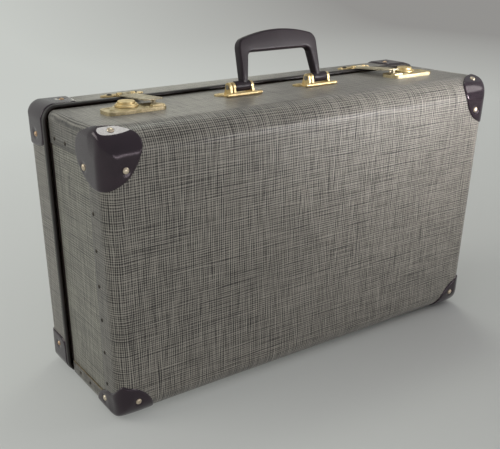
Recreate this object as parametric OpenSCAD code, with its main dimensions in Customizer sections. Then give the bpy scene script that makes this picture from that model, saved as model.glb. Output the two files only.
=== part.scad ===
// Vintage suitcase standing on its hinge side: a deep fibre tray, a thin lid,
// moulded corner caps, a carrying handle and two brass hasp locks.
// X runs along the case, the front face looks to -Y, Z is up, the floor is z = 0.

/* [Case] */
// Length of the tray
case_w = 620; // [520:1:760]
// Height of the tray from hinge side to handle side
case_h = 362; // [300:1:460]
// Depth of the tray from front face to mouth
tray_d = 143; // [110:1:200]
// Depth of the lid with its binding
lid_d = 57.5; // [45:0.5:90]
// Gap between the tray's mouth and the lid's binding
seam_gap = 6.5; // [6.2:0.1:9]
// Overhang of the lid past the tray on the three opening sides
lid_over = 3; // [2:0.5:5]
// Radius of the bends round the front face
face_r = 18; // [14:1:24]
// Radius of the tray's edges that run front to back
side_r = 9; // [7:0.5:12]
// Radius of the bends round the lid's back face
lid_face_r = 13; // [10:1:16]
// Radius of the lid's corners seen from the back
lid_side_r = 18; // [16:1:22]

/* [Sheet] */
// Thickness of the tray's fibre sheet
wall = 2.2; // [1.8:0.1:3]
// Thickness of the skived flanges on the tray's ends
flange_t = 1.5; // [1:0.1:2]
// Thickness of the end boards
panel_t = 3; // [2:0.1:4]
// Thickness of the lid's sheet
lid_wall = 2.5; // [2:0.1:3]
// Thickness of the lining
lining_t = 1; // [0.6:0.1:1.4]
// Width of the flange behind the front edge
front_flange = 42; // [34:1:60]
// Width of the flange under the top edge
top_flange = 38; // [30:1:60]
// Width of the flange above the bottom edge
bottom_flange = 22; // [16:1:40]

/* [Rim] */
// How far the binding stands proud of the lid
bead_proud = 1.2; // [0.8:0.1:1.6]
// Width of the binding over the lid's edge
bead_w = 6; // [5:0.5:8]
// Thickness of the binding's inner leg
bead_inner = 1; // [0.6:0.1:1.2]
// Thickness of the valance frame
rim_t = 3; // [2:0.1:5]
// Length of the valance inside the tray
rim_inside = 27; // [15:1:50]
// How far the valance reaches into the lid
rim_reach = 7.5; // [4:0.5:10]
// Distance of the valance from the tray's top and bottom faces
rim_drop = 4.8; // [4.6:0.1:6]

/* [Corner caps] */
// Thickness of the moulded caps
cap_t = 2.2; // [1.8:0.1:3]
// Reach of a tray cap along the case
cap_reach_x = 48; // [40:1:60]
// Reach of a top cap's upper lobe towards the lid
cap_reach_y = 40; // [36:1:56]
// Reach of a top cap down the front face and the ends
cap_reach_z = 66; // [56:1:80]
// Reach of a top cap's end lobe towards the lid
cap_side_y = 66; // [56:1:72]
// Reach of a bottom cap up the front face
cap_low_z = 50; // [44:1:58]
// Reach of a bottom cap up the ends
cap_low_side = 37; // [34:1:44]
// Reach of a bottom cap towards the lid
cap_low_y = 66; // [60:1:72]
// Reach of a lid cap along each edge
lid_cap_reach = 51; // [44:1:60]
// Rounding at the tip of a cap's large lobes
lobe_r = 36; // [26:1:38]
// Rounding at the tip of a cap's lower lobes
tip_r = 28; // [20:1:32]
// Drop of a bottom cap's front lobe towards its tip
low_front_drop = 33; // [24:1:38]
// Drop of a bottom cap's end lobe towards its tip
low_side_drop = 23; // [14:1:26]
// Distance of the rivets from the tips of the caps' lobes
cap_rivet_in = 23; // [19:0.5:26]
// Radius of the dish pressed round each rivet
dish_r = 7.5; // [6:0.5:9]
// Depth of the dish
dish_d = 1; // [0.6:0.1:1.2]
// Radius of the cap rivets' heads
cap_rivet_r = 3.4; // [2.5:0.1:4.5]
// Height of the cap rivets' heads
cap_rivet_h = 2; // [1.4:0.1:2.4]
// Radius of the cap rivets' shanks
cap_shank_r = 1.6; // [1.2:0.1:2]

/* [End rivets] */
// Number of rivets in the front flange of each end
end_rivet_n = 6; // [4:1:9]
// Distance of the highest rivet of that row below the top cap
end_rivet_drop = 31; // [15:1:50]
// Distance of that row from the front face
end_rivet_y = 35; // [28:0.5:38]
// Radius of the end rivets' heads
end_rivet_r = 2.6; // [2:0.1:3.5]
// Height of the end rivets' heads
end_rivet_h = 1.1; // [0.8:0.1:1.6]
// Distance of the pair under the top edge from the tray's mouth
pair_back = 13; // [9:0.5:20]
// Distance between the rivets of a pair
pair_gap = 31; // [20:1:34]

/* [Handle] */
// Distance between the handle's legs, centre to centre
handle_span = 118; // [108:1:126]
// Height of the handle's top above its pins
handle_rise = 66; // [60:0.5:70]
// Height of the grip's underside above the pins
handle_gap = 40; // [36:0.5:42]
// Width of the handle's bar seen from the front
handle_bar = 13; // [11:0.5:13.5]
// Depth of the handle's bar
handle_depth = 13; // [11:0.5:14]
// Rounding of the bar's edges
handle_edge = 3; // [2.5:0.5:4.5]
// Radius of the bends between legs and grip
handle_bend = 7; // [7:0.5:12]
// Radius of the arch over the grip
handle_arch = 200; // [160:5:320]
// Backward lean of the handle at rest, degrees
handle_lean = 15; // [0:1:30]
// Radius of the barrels on the legs
barrel_r = 6.6; // [5:0.1:7]
// Length of each barrel
barrel_l = 24; // [22:0.5:28]
// Distance of the pins from the front face
pivot_y = 96; // [84:0.5:100]
// Height of the pins above the case
pivot_h = 11.2; // [10.6:0.1:13]
// Radius of the handle pins
handle_pin_r = 2; // [1.5:0.1:2.5]

/* [Brackets] */
// Distance of a bracket's middle outside the leg that it holds
bracket_out = 5.5; // [3:0.5:6.5]
// Length of a bracket's plate
bracket_w = 52; // [51:0.5:64]
// Depth of a bracket's plate
bracket_d = 26; // [24:0.5:32]
// Thickness of the plate
bracket_t = 1.5; // [1:0.1:2]
// Thickness of an ear
ear_t = 3.4; // [2.4:0.1:4]
// Radius of an ear round the pin
ear_r = 5.6; // [4:0.1:6.4]
// Width of an ear at its foot
ear_foot = 17; // [12:0.5:18]
// Radius of the rolled bar along the front edge
roll_r = 2.4; // [1.6:0.1:2.6]
// Gap between the two ears on one side
ear_gap = 2; // [1.4:0.1:4]
// Radius of the riveted lobe at a bracket's left end
bracket_lobe_r = 7.5; // [6:0.5:9]
// Radius of the heads of the rivets in brackets and lock pans
plate_rivet_r = 3.3; // [2.6:0.1:4]
// Radius of their shanks
plate_shank_r = 1.4; // [1:0.1:1.8]

/* [Locks] */
// Distance of each lock button from the tray's end
button_edge = 79; // [66:1:95]
// Distance of the buttons from the tray's mouth
button_back = 48.5; // [40:0.5:60]
// Height of the lock pan
pan_h = 4; // [3.6:0.1:5]
// Sheet thickness of the lock pan
pan_t = 1.2; // [1:0.1:1.4]
// Length of the pan outside the button
pan_out = 35; // [33:1:44]
// Length of the pan inside the button
pan_in = 43; // [42:1:50]
// Length of the pan in front of the button
pan_front = 26; // [24:1:34]
// Length of the pan behind the button
pan_back = 6; // [3:0.5:12]
// Radius of the pan's corners
pan_corner = 10; // [6:0.5:11]
// Length of the key slot
key_l = 8; // [5:0.5:12]
// Width of the key slot
key_w = 2.2; // [1.6:0.1:3]
// Distance of the key slot from the button's centre
key_out = 22; // [18:0.5:26]
// Height of the catch block in front of the hasp
catch_h = 2; // [1:0.1:3]
// Depth of the catch block
catch_d = 7; // [5:0.5:9]
// Radius of the pan's round lobe behind the button
pan_lobe = 16.5; // [15:0.5:18]
// Radius of the button's lower step
button_r = 14; // [12:0.5:14.5]
// Radius of the button's upper step
button_top_r = 10.5; // [8:0.5:11.5]
// Height of the lower step
button_low_h = 3.4; // [2.5:0.1:4]
// Height of the upper step
button_top_h = 2.8; // [2:0.1:4]
// Travel of a button towards the middle
button_travel = 5; // [4:0.5:5.5]
// Radius of the button's stem
stem_r = 3; // [2:0.1:3.5]
// Width of the bolt
bolt_w = 5; // [4:0.1:6]
// Thickness of the bolt
bolt_t = 1.2; // [1:0.1:1.4]
// Distance of the bolt in front of the button's centre
bolt_front = 7; // [6.5:0.1:8]

/* [Hasps] */
// Distance of a hasp from its button
hasp_in = 32; // [32:0.5:36]
// Width of a hasp
hasp_w = 24; // [20:0.5:25]
// Reach of a hasp in front of its button's centre
hasp_tip = 11.5; // [11:0.1:13]
// Thickness of a hasp
hasp_t = 1.5; // [1.2:0.1:2]
// Angle by which an unlatched hasp stands up, degrees
hasp_pop = 4; // [2:1:10]
// Distance of the hasp pins behind the binding's front
hasp_pin_back = 8.5; // [8.5:0.5:12]
// Radius of a hasp's knuckle
hasp_knuckle_r = 2.3; // [2:0.1:2.8]
// Radius of the hasp pins
hasp_pin_r = 1; // [0.8:0.1:1.2]
// Length of a keeper plate
keeper_w = 60; // [56:1:74]
// Depth of a keeper plate's lobes
keeper_d = 15; // [14:0.5:20]
// Depth of a keeper plate at its waist
keeper_waist = 11; // [9:0.5:13]
// Thickness of a keeper plate
keeper_t = 1.6; // [1.2:0.1:2]
// Distance between a keeper's screws
screw_span = 36; // [30:1:44]
// Radius of the keeper screws' heads
screw_r = 3.6; // [2.5:0.1:4.5]
// Height of the screws' heads
screw_h = 1.8; // [1.2:0.1:2.4]
// Radius of the screws' shanks
screw_shank_r = 1.6; // [1.2:0.1:2]
// Width of the screws' slots
screw_slot = 1; // [0.6:0.1:1.4]

/* [Hinges] */
// Number of hinges
hinge_n = 3; // [2:1:4]
// Distance of the outer hinges from the ends
hinge_edge = 100; // [80:1:150]
// Length of a hinge
hinge_w = 40; // [34:1:60]
// Length of a hinge leaf over the sheet
leaf_l = 24; // [18:0.5:30]
// Thickness of a hinge leaf
leaf_t = 1.2; // [1:0.1:1.4]
// Radius of a hinge knuckle
knuckle_r = 2.6; // [2.2:0.1:2.8]
// Radius of a hinge pin
hinge_pin_r = 1.3; // [1:0.1:1.5]
// Radius of the hinge rivets' heads
hinge_rivet_r = 2.8; // [2:0.1:3.2]
// Height of the hinge rivets' heads
hinge_rivet_h = 0.7; // [0.5:0.1:0.9]

/* [Clearances] */
// Gap between pieces that are fixed together
seat_gap = 0.05; // [0.02:0.01:0.1]
// Radial gap of a pin in a piece that turns on it
run_gap = 0.06; // [0.03:0.01:0.1]
// Side gap between pieces that move past each other
side_gap = 0.4; // [0.3:0.05:0.6]

/* [Hidden] */
$fn = 64;

// cut: how far a cutter runs past the face it opens
cut = 1;

// Places along Y: the front face, the mouth, the binding and the back face
total_d = tray_d + seam_gap + lid_d;
y_front = -total_d / 2;
y_mouth = y_front + tray_d;
y_bead = y_mouth + seam_gap;
y_back = total_d / 2;

// Heights: the bottom caps stand on the floor, the lid is flush on the hinge side
z_low = cap_t;
z_top = z_low + case_h;
z_mid = z_low + case_h / 2;
lid_w = case_w + 2 * lid_over;
lid_h = case_h + lid_over;
z_lid_top = z_low + lid_h;
z_lid_mid = z_low + lid_h / 2;
x_end = case_w / 2;
x_lid_end = lid_w / 2;

// Rivet places in the lobes of top and bottom caps, measured from the corner of the case
front_rivet = [[cap_reach_x - cap_rivet_in, cap_reach_z - cap_rivet_in],
    [cap_reach_x - cap_rivet_in, cap_low_z - cap_rivet_in]];
top_rivet = [[cap_reach_x - cap_rivet_in, cap_reach_y - 0.8 * cap_rivet_in],
    [cap_reach_x - cap_rivet_in, cap_low_y - cap_rivet_in]];
side_rivet = [[cap_side_y - 0.8 * cap_rivet_in, cap_reach_z - cap_rivet_in],
    [cap_low_y - cap_rivet_in, cap_low_side / 2]];
lid_edge_rivet = lid_cap_reach - 0.65 * cap_rivet_in;
lid_back_rivet = lid_cap_reach - cap_rivet_in;
// The side of a lid that a cap covers, and the middle of it
lid_side_d = lid_d - bead_w - 2 * side_gap;
lid_side_mid = lid_side_d / 2 + 3;
// Head of a rivet that stays inside its dish
foot_rivet_h = dish_d - 0.2;

// Handle pins and the arch of the handle
y_pivot = y_front + pivot_y;
z_pivot = z_top + pivot_h;
leg_x = handle_span / 2;
arch_a = asin((leg_x - handle_bend) / (handle_arch - handle_bend));
leg_top = handle_rise - handle_bar / 2 - handle_arch + (handle_arch - handle_bend) * cos(arch_a);
grip_h = handle_rise - 0.7 * handle_bar - handle_gap;
bracket_span = handle_span + 2 * bracket_out;
ear_x = barrel_l / 2 + side_gap + ear_t / 2;
outer_ear_x = ear_x + ear_t + ear_gap;
roll_y = bracket_d * 0.3;
pin_head = 1;

// Locks: buttons on the tray, hasps and keepers on the lid
button_x = x_end - button_edge;
y_button = y_mouth - button_back;
z_pan = z_top + pan_h;
x_hasp = button_x - hasp_in;
z_bolt = z_top + pan_h - pan_t - side_gap / 2 - bolt_t;
y_bolt = y_button - bolt_front;
lug_t = 3;
lug_w = bolt_w + 3;
lug_room = 1;
lug_foot = 1;
bolt_back = 1.5;
y_hasp_pin = y_bead + hasp_pin_back;
hasp_z = max(z_pan, z_lid_top + bead_proud) + side_gap;
z_hasp_pin = hasp_z + hasp_knuckle_r - 0.8;
hasp_knuckle_l = hasp_w * 0.5;
keeper_knuckle_l = 6;
keeper_y = y_hasp_pin + hasp_knuckle_r + 1 + keeper_d / 2;
slot_w = 2 * (stem_r + side_gap);
hasp_l = y_hasp_pin - y_button + hasp_tip;
catch_front = hasp_tip + catch_d + 2;
rivet_dome = 1.4;

// Hinges: their axis lies midway in the seam, above the leaves' lower face
y_hinge = y_mouth + seam_gap / 2;
z_hinge = z_low - leaf_t + knuckle_r;
hinge_relief = knuckle_r + 1.1;
mid_knuckle = hinge_w * 0.375;
hinge_span = case_w - 2 * hinge_edge;
hinge_x = [for (i = [0 : hinge_n - 1]) -hinge_span / 2 + i * hinge_span / (hinge_n - 1)];

// Outline with four round corners, centred
module rounded_rect(w, h, r) {
    square([w - 2 * r, h], center = true);
    square([w, h - 2 * r], center = true);
    for (sx = [-1, 1], sy = [-1, 1])
        translate([sx * (w / 2 - r), sy * (h / 2 - r)]) circle(r);
}

// Outline from y = 0 to d whose two corners at y = 0 are round
module bent_face(w, d, r) {
    translate([-w / 2, r]) square([w, d - r]);
    translate([r - w / 2, 0]) square([w - 2 * r, d]);
    for (sx = [-1, 1])
        translate([sx * (w / 2 - r), r]) circle(r);
}

// Solid of a tray with its face at y = 0 and its mouth at y = d, centred on X and Z
module tray_form(w, h, d, r_side, r_face) {
    intersection() {
        rotate([-90, 0, 0]) linear_extrude(d) rounded_rect(w, h, r_side);
        translate([0, 0, -h / 2]) linear_extrude(h) bent_face(w, d, r_face);
        translate([w / 2, 0, 0]) rotate([0, -90, 0]) linear_extrude(w) bent_face(h, d, r_face);
    }
}

// Profile carried round an upright rounded frame: profile x points outwards, profile y runs along +Y;
// part leaves the straight runs that much short of the corner pieces at each end
module frame_sweep(w, h, r, part = 0) {
    rotate([-90, 0, 0]) {
        for (mx = [0, 1], my = [0, 1])
            mirror([mx, 0, 0]) mirror([0, my, 0])
                translate([w / 2 - r, h / 2 - r, 0]) rotate_extrude(angle = 90) translate([r, 0]) children();
        for (mx = [0, 1])
            mirror([mx, 0, 0]) translate([w / 2, h / 2 - r - part, 0])
                rotate([90, 0, 0]) linear_extrude(h - 2 * (r + part)) children();
        for (my = [0, 1])
            mirror([0, my, 0]) translate([r + part - w / 2, h / 2, 0])
                rotate([90, 0, 90]) linear_extrude(w - 2 * (r + part)) children();
    }
}

// Puts a tray shape, drawn with its face at y = 0, where the tray stands
module at_tray() translate([0, y_front, z_mid]) children();

// Puts a tray shape where the lid stands, its face to the back
module at_lid() translate([0, y_back, z_lid_mid]) mirror([0, 1, 0]) children();

// Domed rivet along +Z with its seat at z = 0: head above, shank below
module rivet(r, h, shank_r, shank_l) {
    ball = (r * r + h * h) / (2 * h);
    intersection() {
        translate([0, 0, h - ball]) sphere(ball);
        cylinder(r = r, h = h);
    }
    translate([0, 0, -shank_l]) cylinder(r = shank_r, h = shank_l);
}

// Sheet tray, its two flanged ends open behind the flanges
module tray_wrap() {
    color("darkkhaki") at_tray() difference() {
        tray_form(case_w, case_h, tray_d, side_r, face_r);
        translate([0, wall, 0])
            tray_form(case_w - 2 * flange_t, case_h - 2 * wall, tray_d, side_r - wall, face_r - wall);
        for (sx = [-1, 1])
            translate([sx * x_end - wall, front_flange, bottom_flange - case_h / 2])
                cube([2 * wall, tray_d, case_h - top_flange - bottom_flange]);
    }
}

// End board inside the flanges, side -1 or 1
module end_panel(side) {
    panel_d = tray_d - face_r;
    panel_h = case_h - 2 * side_r;
    x_in = x_end - flange_t - seat_gap - panel_t;
    color("darkkhaki") at_tray()
        translate([side > 0 ? x_in : -x_in - panel_t, face_r + panel_d / 2, 0])
            rotate([90, 0, 90]) linear_extrude(panel_t) rounded_rect(panel_d, panel_h, 4);
}

module end_panel_left() end_panel(-1);

module end_panel_right() end_panel(1);

// Rivets of both ends: the row behind the front edge, two under the top, two above the bottom
module flange_rivets() {
    row_low = cap_low_side + 2 * end_rivet_r;
    row_high = case_h - cap_reach_z - end_rivet_drop;
    row = [for (i = [0 : end_rivet_n - 1])
        [end_rivet_y, row_low + i * (row_high - row_low) / (end_rivet_n - 1)]];
    top = [for (k = [0, 1]) [tray_d - pair_back - k * pair_gap, case_h - top_flange + 3 * end_rivet_r]];
    bottom = [for (k = [-1, 1]) [(cap_low_y + tray_d + k * pair_gap) / 2, (side_r + bottom_flange) / 2]];
    color("dimgray") at_tray() for (side = [-1, 1], p = concat(row, top, bottom))
        translate([side * (x_end + seat_gap), p[0], p[1] - case_h / 2]) rotate([0, side * 90, 0])
            rivet(end_rivet_r, end_rivet_h, end_rivet_r / 2, seat_gap);
}

// Valance frame in the tray's mouth: four strips between four bent corner pieces
module tray_rim() {
    inset = flange_t + panel_t + 2 * seat_gap;
    color("saddlebrown") translate([0, y_mouth - rim_inside, z_mid])
        frame_sweep(case_w - 2 * inset, case_h - 2 * rim_drop, side_r, seat_gap)
            translate([-rim_t, 0]) square([rim_t, rim_inside + seam_gap + rim_reach]);
}

// Lining skin of the tray, up to the valance
module tray_lining() {
    side = flange_t + panel_t + 2 * seat_gap;
    face = wall + seat_gap;
    depth = tray_d - rim_inside - seat_gap - face;
    color("wheat") at_tray() difference() {
        translate([0, face, 0])
            tray_form(case_w - 2 * side, case_h - 2 * face, depth, side_r - face, face_r - face);
        translate([0, face + lining_t, 0])
            tray_form(case_w - 2 * (side + lining_t), case_h - 2 * (face + lining_t), depth,
                side_r - face - lining_t, face_r - face - lining_t);
    }
}

// Lobe of a cap, measured from the corner of the case, its far corner round
module lobe(a, b, r) {
    translate([-cap_t - cut, -cap_t - cut]) square([a + cap_t + cut, b - r + cap_t + cut]);
    translate([-cap_t - cut, -cap_t - cut]) square([a - r + cap_t + cut, b + cap_t + cut]);
    translate([a - r, b - r]) circle(r);
}

// Lobe under one large arc that falls by drop towards its round tip
module lens_lobe(a, b, drop, r) {
    big = (a * a + drop * drop) / (2 * drop);
    tip_z = b - drop * pow((a - r) / a, 2) + cut;
    intersection() {
        translate([0, b - big]) circle(big);
        union() {
            translate([-cap_t - cut, -cap_t - cut]) square([a - r + cap_t + cut, b + cap_t + cut]);
            lobe(a, tip_z, r);
        }
    }
}

// Dish pressed into a lobe whose outer face is at z = cap_t
module dish() {
    ball = (dish_r * dish_r + dish_d * dish_d) / (2 * dish_d);
    translate([0, 0, cap_t - dish_d + ball]) sphere(ball);
    translate([0, 0, -cut]) cylinder(r = cap_shank_r + seat_gap, h = cap_t + 2 * cut);
}

// Frames of the three rivets of a tray cap: outer face of each lobe to +Z, for the top left corner
module on_front_lobe(low) {
    p = front_rivet[low];
    translate([p[0] - x_end, 0, case_h / 2 - p[1]]) rotate([90, 0, 0]) children();
}

module on_top_lobe(low) {
    p = top_rivet[low];
    translate([p[0] - x_end, p[1], case_h / 2]) children();
}

module on_side_lobe(low) {
    p = side_rivet[low];
    translate([-x_end, p[0], case_h / 2 - p[1]]) rotate([0, -90, 0]) children();
}

// Outlines of a tray cap on the front face and on the end: low is 1 for a bottom cap
module front_lobe(low) {
    if (low == 1) lens_lobe(cap_reach_x, cap_low_z, low_front_drop, tip_r);
    else lobe(cap_reach_x, cap_reach_z, lobe_r);
}

module end_lobe(low) {
    if (low == 1) lens_lobe(cap_low_y, cap_low_side, low_side_drop, tip_r);
    else lobe(cap_side_y, cap_reach_z, lobe_r);
}

// Moulded cap in the tray's own frame, drawn at the top left: low is 1 for the lobes of a bottom cap
module tray_cap_form(low) {
    top_y = low == 1 ? cap_low_y : cap_reach_y;
    difference() {
        intersection() {
            translate([0, -cap_t, 0])
                tray_form(case_w + 2 * cap_t, case_h + 2 * cap_t, tray_d, side_r + cap_t, face_r + cap_t);
            translate([-x_end, 0, case_h / 2]) mirror([0, 0, 1]) union() {
                translate([0, face_r, 0]) rotate([90, 0, 0])
                    linear_extrude(face_r + cap_t + cut) front_lobe(low);
                translate([0, 0, -cap_t - cut])
                    linear_extrude(side_r + cap_t + cut) lobe(cap_reach_x, top_y, tip_r);
                translate([-cap_t - cut, 0, 0]) rotate([90, 0, 90])
                    linear_extrude(side_r + cap_t + cut) end_lobe(low);
            }
        }
        translate([0, -seat_gap, 0])
            tray_form(case_w + 2 * seat_gap, case_h + 2 * seat_gap, tray_d, side_r + seat_gap, face_r + seat_gap);
        on_front_lobe(low) dish();
        on_top_lobe(low) dish();
        on_side_lobe(low) dish();
    }
}

module tray_cap(right, bottom) {
    color("#2b2026") at_tray() mirror([right, 0, 0]) mirror([0, 0, bottom]) tray_cap_form(bottom);
}

module cap_top_left() tray_cap(0, 0);

module cap_top_right() tray_cap(1, 0);

module cap_bottom_left() tray_cap(0, 1);

module cap_bottom_right() tray_cap(1, 1);

// Rivet in a dish: its seat is the dish's floor, its shank ends on the case
module cap_rivet(h) {
    translate([0, 0, cap_t - dish_d + seat_gap + dish_d * pow(cap_rivet_r / dish_r, 2)])
        rivet(cap_rivet_r, h, cap_shank_r, cap_t - dish_d + dish_d * pow(cap_rivet_r / dish_r, 2) - seat_gap);
}

// Rivets of the tray's caps; those under the case stay inside their dishes
module tray_cap_rivets() {
    low_head = foot_rivet_h - dish_d * pow(cap_rivet_r / dish_r, 2);
    color("goldenrod") at_tray() for (right = [0, 1], bottom = [0, 1])
        mirror([right, 0, 0]) mirror([0, 0, bottom]) {
            on_front_lobe(bottom) cap_rivet(cap_rivet_h);
            on_top_lobe(bottom) cap_rivet(bottom == 1 ? low_head : cap_rivet_h);
            on_side_lobe(bottom) cap_rivet(cap_rivet_h);
        }
}

// Handle bracket: plate with a riveted ear at its left end, rolled front bar and three ears
module bracket(side) {
    color("gold") translate([side * bracket_span / 2, y_pivot, z_top]) {
        difference() {
            union() {
                translate([0, bracket_d / 2 - roll_y, 0]) linear_extrude(bracket_t) rounded_rect(bracket_w, bracket_d, 3);
                translate([-bracket_w / 2, bracket_d - roll_y - bracket_lobe_r, 0])
                    cylinder(r = bracket_lobe_r, h = bracket_t);
            }
            for (p = bracket_rivet_places())
                translate([p[0], p[1], -cut]) cylinder(r = plate_shank_r + seat_gap, h = bracket_t + 2 * cut);
        }
        translate([0, -roll_y, roll_r]) {
            rotate([0, 90, 0]) cylinder(r = roll_r, h = bracket_w, center = true);
            for (sx = [-1, 1]) translate([sx * bracket_w / 2, 0, 0]) sphere(roll_r);
        }
        for (x = [-outer_ear_x, -ear_x, ear_x])
            translate([x, 0, 0]) bracket_ear();
    }
}

// Rivet places in a bracket's plate, from the middle of the bracket and the pin
function bracket_rivet_places() = [[-bracket_w / 2, bracket_d - roll_y - bracket_lobe_r],
    [bracket_w / 2 - bracket_lobe_r, bracket_d - roll_y - bracket_lobe_r]];

// Ear standing on a bracket's plate, drilled for the pin
module bracket_ear() {
    translate([-ear_t / 2, 0, 0]) rotate([90, 0, 90]) linear_extrude(ear_t) difference() {
        union() {
            translate([0, pivot_h]) circle(ear_r);
            polygon([[-ear_foot / 2, bracket_t / 2], [ear_foot / 2, bracket_t / 2], [ear_r, pivot_h], [-ear_r, pivot_h]]);
        }
        translate([0, pivot_h]) circle(handle_pin_r + seat_gap);
    }
}

module bracket_left() bracket(-1);

module bracket_right() bracket(1);

// Two rivets in each bracket's plate
module bracket_rivets() {
    color("gold") for (side = [-1, 1])
        translate([side * bracket_span / 2, y_pivot, z_top + bracket_t + seat_gap])
            for (p = bracket_rivet_places())
                translate([p[0], p[1], 0]) rivet(plate_rivet_r, rivet_dome, plate_shank_r, bracket_t);
}

// Pins through the ears of each bracket, with a flat head at both ends
module handle_pins() {
    x_left = -outer_ear_x - ear_t / 2 - seat_gap;
    x_right = ear_x + ear_t / 2 + seat_gap;
    color("peru") for (side = [-1, 1])
        translate([side * bracket_span / 2, y_pivot, z_pivot]) rotate([0, 90, 0]) {
            translate([0, 0, x_left]) cylinder(r = handle_pin_r, h = x_right - x_left);
            translate([0, 0, x_left - pin_head]) cylinder(r = handle_pin_r + 1, h = pin_head);
            translate([0, 0, x_right]) cylinder(r = handle_pin_r + 1, h = pin_head);
        }
}

// Section of the handle's bar, in its plane along x and across it along y
module handle_section(less) rounded_rect(handle_bar - less, handle_depth - less, handle_edge - less / 2);

// Moulded handle: legs and arch run into the slightly fuller bends, under them a straight grip edge
module handle() {
    lap = 0.4;
    color("#3a2b31") translate([0, y_pivot, z_pivot]) rotate([-handle_lean, 0, 0]) difference() {
        rotate([90, 0, 0]) {
            for (m = [0, 1]) mirror([m, 0, 0]) {
                translate([-leg_x, 0, 0]) rotate([-90, 0, 0]) linear_extrude(leg_top + 1) handle_section(lap);
                translate([handle_bend - leg_x, leg_top, 0]) rotate([0, 0, 90 + arch_a])
                    rotate_extrude(angle = 90 - arch_a) translate([handle_bend, 0]) handle_section(0);
                translate([-bracket_span / 2, 0, 0]) rotate([0, 90, 0])
                    cylinder(r = barrel_r, h = barrel_l, center = true);
            }
            translate([0, handle_rise - handle_bar / 2 - handle_arch, 0]) rotate([0, 0, 90 - arch_a - lap])
                rotate_extrude(angle = 2 * (arch_a + lap), $fn = 256) translate([handle_arch, 0])
                    handle_section(lap);
            translate([handle_bar / 4 - leg_x, handle_gap + grip_h / 2, 0]) rotate([0, 90, 0])
                linear_extrude(handle_span - handle_bar / 2)
                    rounded_rect(handle_depth - 2 * lap, grip_h, handle_edge - lap);
        }
        for (side = [-1, 1])
            translate([side * bracket_span / 2, 0, 0]) rotate([0, 90, 0])
                cylinder(r = handle_pin_r + run_gap, h = barrel_l + 2 * cut, center = true);
    }
}

// Places on the right lock: the button's centre on the case, and the hasp's middle
module at_button() translate([button_x, y_button, z_top]) children();

// Outline of the lock pan round the button's centre
module pan_outline(inset) {
    translate([(pan_out - pan_in) / 2, (pan_back - pan_front) / 2])
        rounded_rect(pan_out + pan_in - 2 * inset, pan_front + pan_back - 2 * inset, pan_corner - inset);
    circle(pan_lobe - inset);
}

// Pressed lock pan of the right lock: slot for the stem, hole for the lug, key slot, rivet holes
module lock_plate_form() {
    color("khaki") at_button() {
        translate([-hasp_in - hasp_w / 3, -catch_front, pan_h - pan_t / 2])
            cube([hasp_w * 2 / 3, catch_d, catch_h + pan_t / 2]);
        lock_pan();
    }
}

// Hollow pan itself, round the button's centre
module lock_pan() {
    difference() {
        linear_extrude(pan_h) pan_outline(0);
        translate([0, 0, -cut]) linear_extrude(pan_h - pan_t + cut) pan_outline(pan_t);
        translate([-button_travel, 0, 0]) {
            translate([0, -slot_w / 2, 0]) cube([button_travel, slot_w, pan_h + cut]);
            for (x = [0, button_travel]) translate([x, 0, 0]) cylinder(r = slot_w / 2, h = pan_h + cut);
        }
        translate([-hasp_in - lug_t / 2 - lug_room, -bolt_front - lug_w / 2 - lug_room, 0])
            cube([lug_t + 2 * lug_room, lug_w + 2 * lug_room, pan_h + cut]);
        translate([key_out, -key_w / 2, 0]) cube([key_l, key_w, pan_h + cut]);
        for (p = plate_rivet_places())
            translate([p[0], p[1], 0]) cylinder(r = plate_shank_r + seat_gap, h = pan_h + cut);
    }
}

// Rivet places in a lock pan, from the button's centre
function plate_rivet_places() = [[pan_out - pan_corner, -pan_front / 2],
    [hasp_w / 3 - hasp_in + 2 * plate_rivet_r, 2 * plate_rivet_r - pan_front]];

module lock_plate_left() mirror([1, 0, 0]) lock_plate_form();

module lock_plate_right() lock_plate_form();

// Rivets that hold both lock pans, shanks down to the case
module plate_rivets() {
    color("gold") for (m = [0, 1]) mirror([m, 0, 0]) at_button()
        for (p = plate_rivet_places())
            translate([p[0], p[1], pan_h + seat_gap]) rivet(plate_rivet_r, rivet_dome, plate_shank_r, pan_h);
}

// Stepped round button of the right lock, its stem through the slot down to the bolt
module button_form() {
    low = pan_h + side_gap;
    bolt_top = z_bolt + bolt_t - z_top;
    color("gold") at_button() {
        translate([0, 0, low]) rotate_extrude() {
            difference() {
                square([button_r, button_low_h]);
                translate([button_r, button_low_h]) circle(1.6);
            }
            translate([0, button_low_h - 0.2]) square([button_top_r, button_top_h - 0.8]);
            translate([0, button_low_h]) square([button_top_r - 1, button_top_h]);
            translate([button_top_r - 1, button_low_h + button_top_h - 1]) circle(1);
        }
        translate([0, 0, bolt_top + seat_gap]) cylinder(r = stem_r, h = low - bolt_top);
    }
}

// Flat bolt under the right button's stem, its tongue pointing at the hasp's lug
module bolt_form() {
    tip = hasp_in - lug_t / 2 - bolt_back;
    color("silver") translate([button_x, y_bolt - bolt_w / 2, z_bolt]) {
        translate([-tip, 0, 0]) cube([tip + stem_r, bolt_w, bolt_t]);
        translate([-stem_r, 0, 0]) cube([2 * stem_r, bolt_front + bolt_w / 2, bolt_t]);
        translate([0, bolt_front + bolt_w / 2, 0]) cylinder(r = stem_r, h = bolt_t);
    }
}

module button_left() mirror([1, 0, 0]) button_form();

module button_right() button_form();

module bolt_left() mirror([1, 0, 0]) bolt_form();

module bolt_right() bolt_form();

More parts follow.
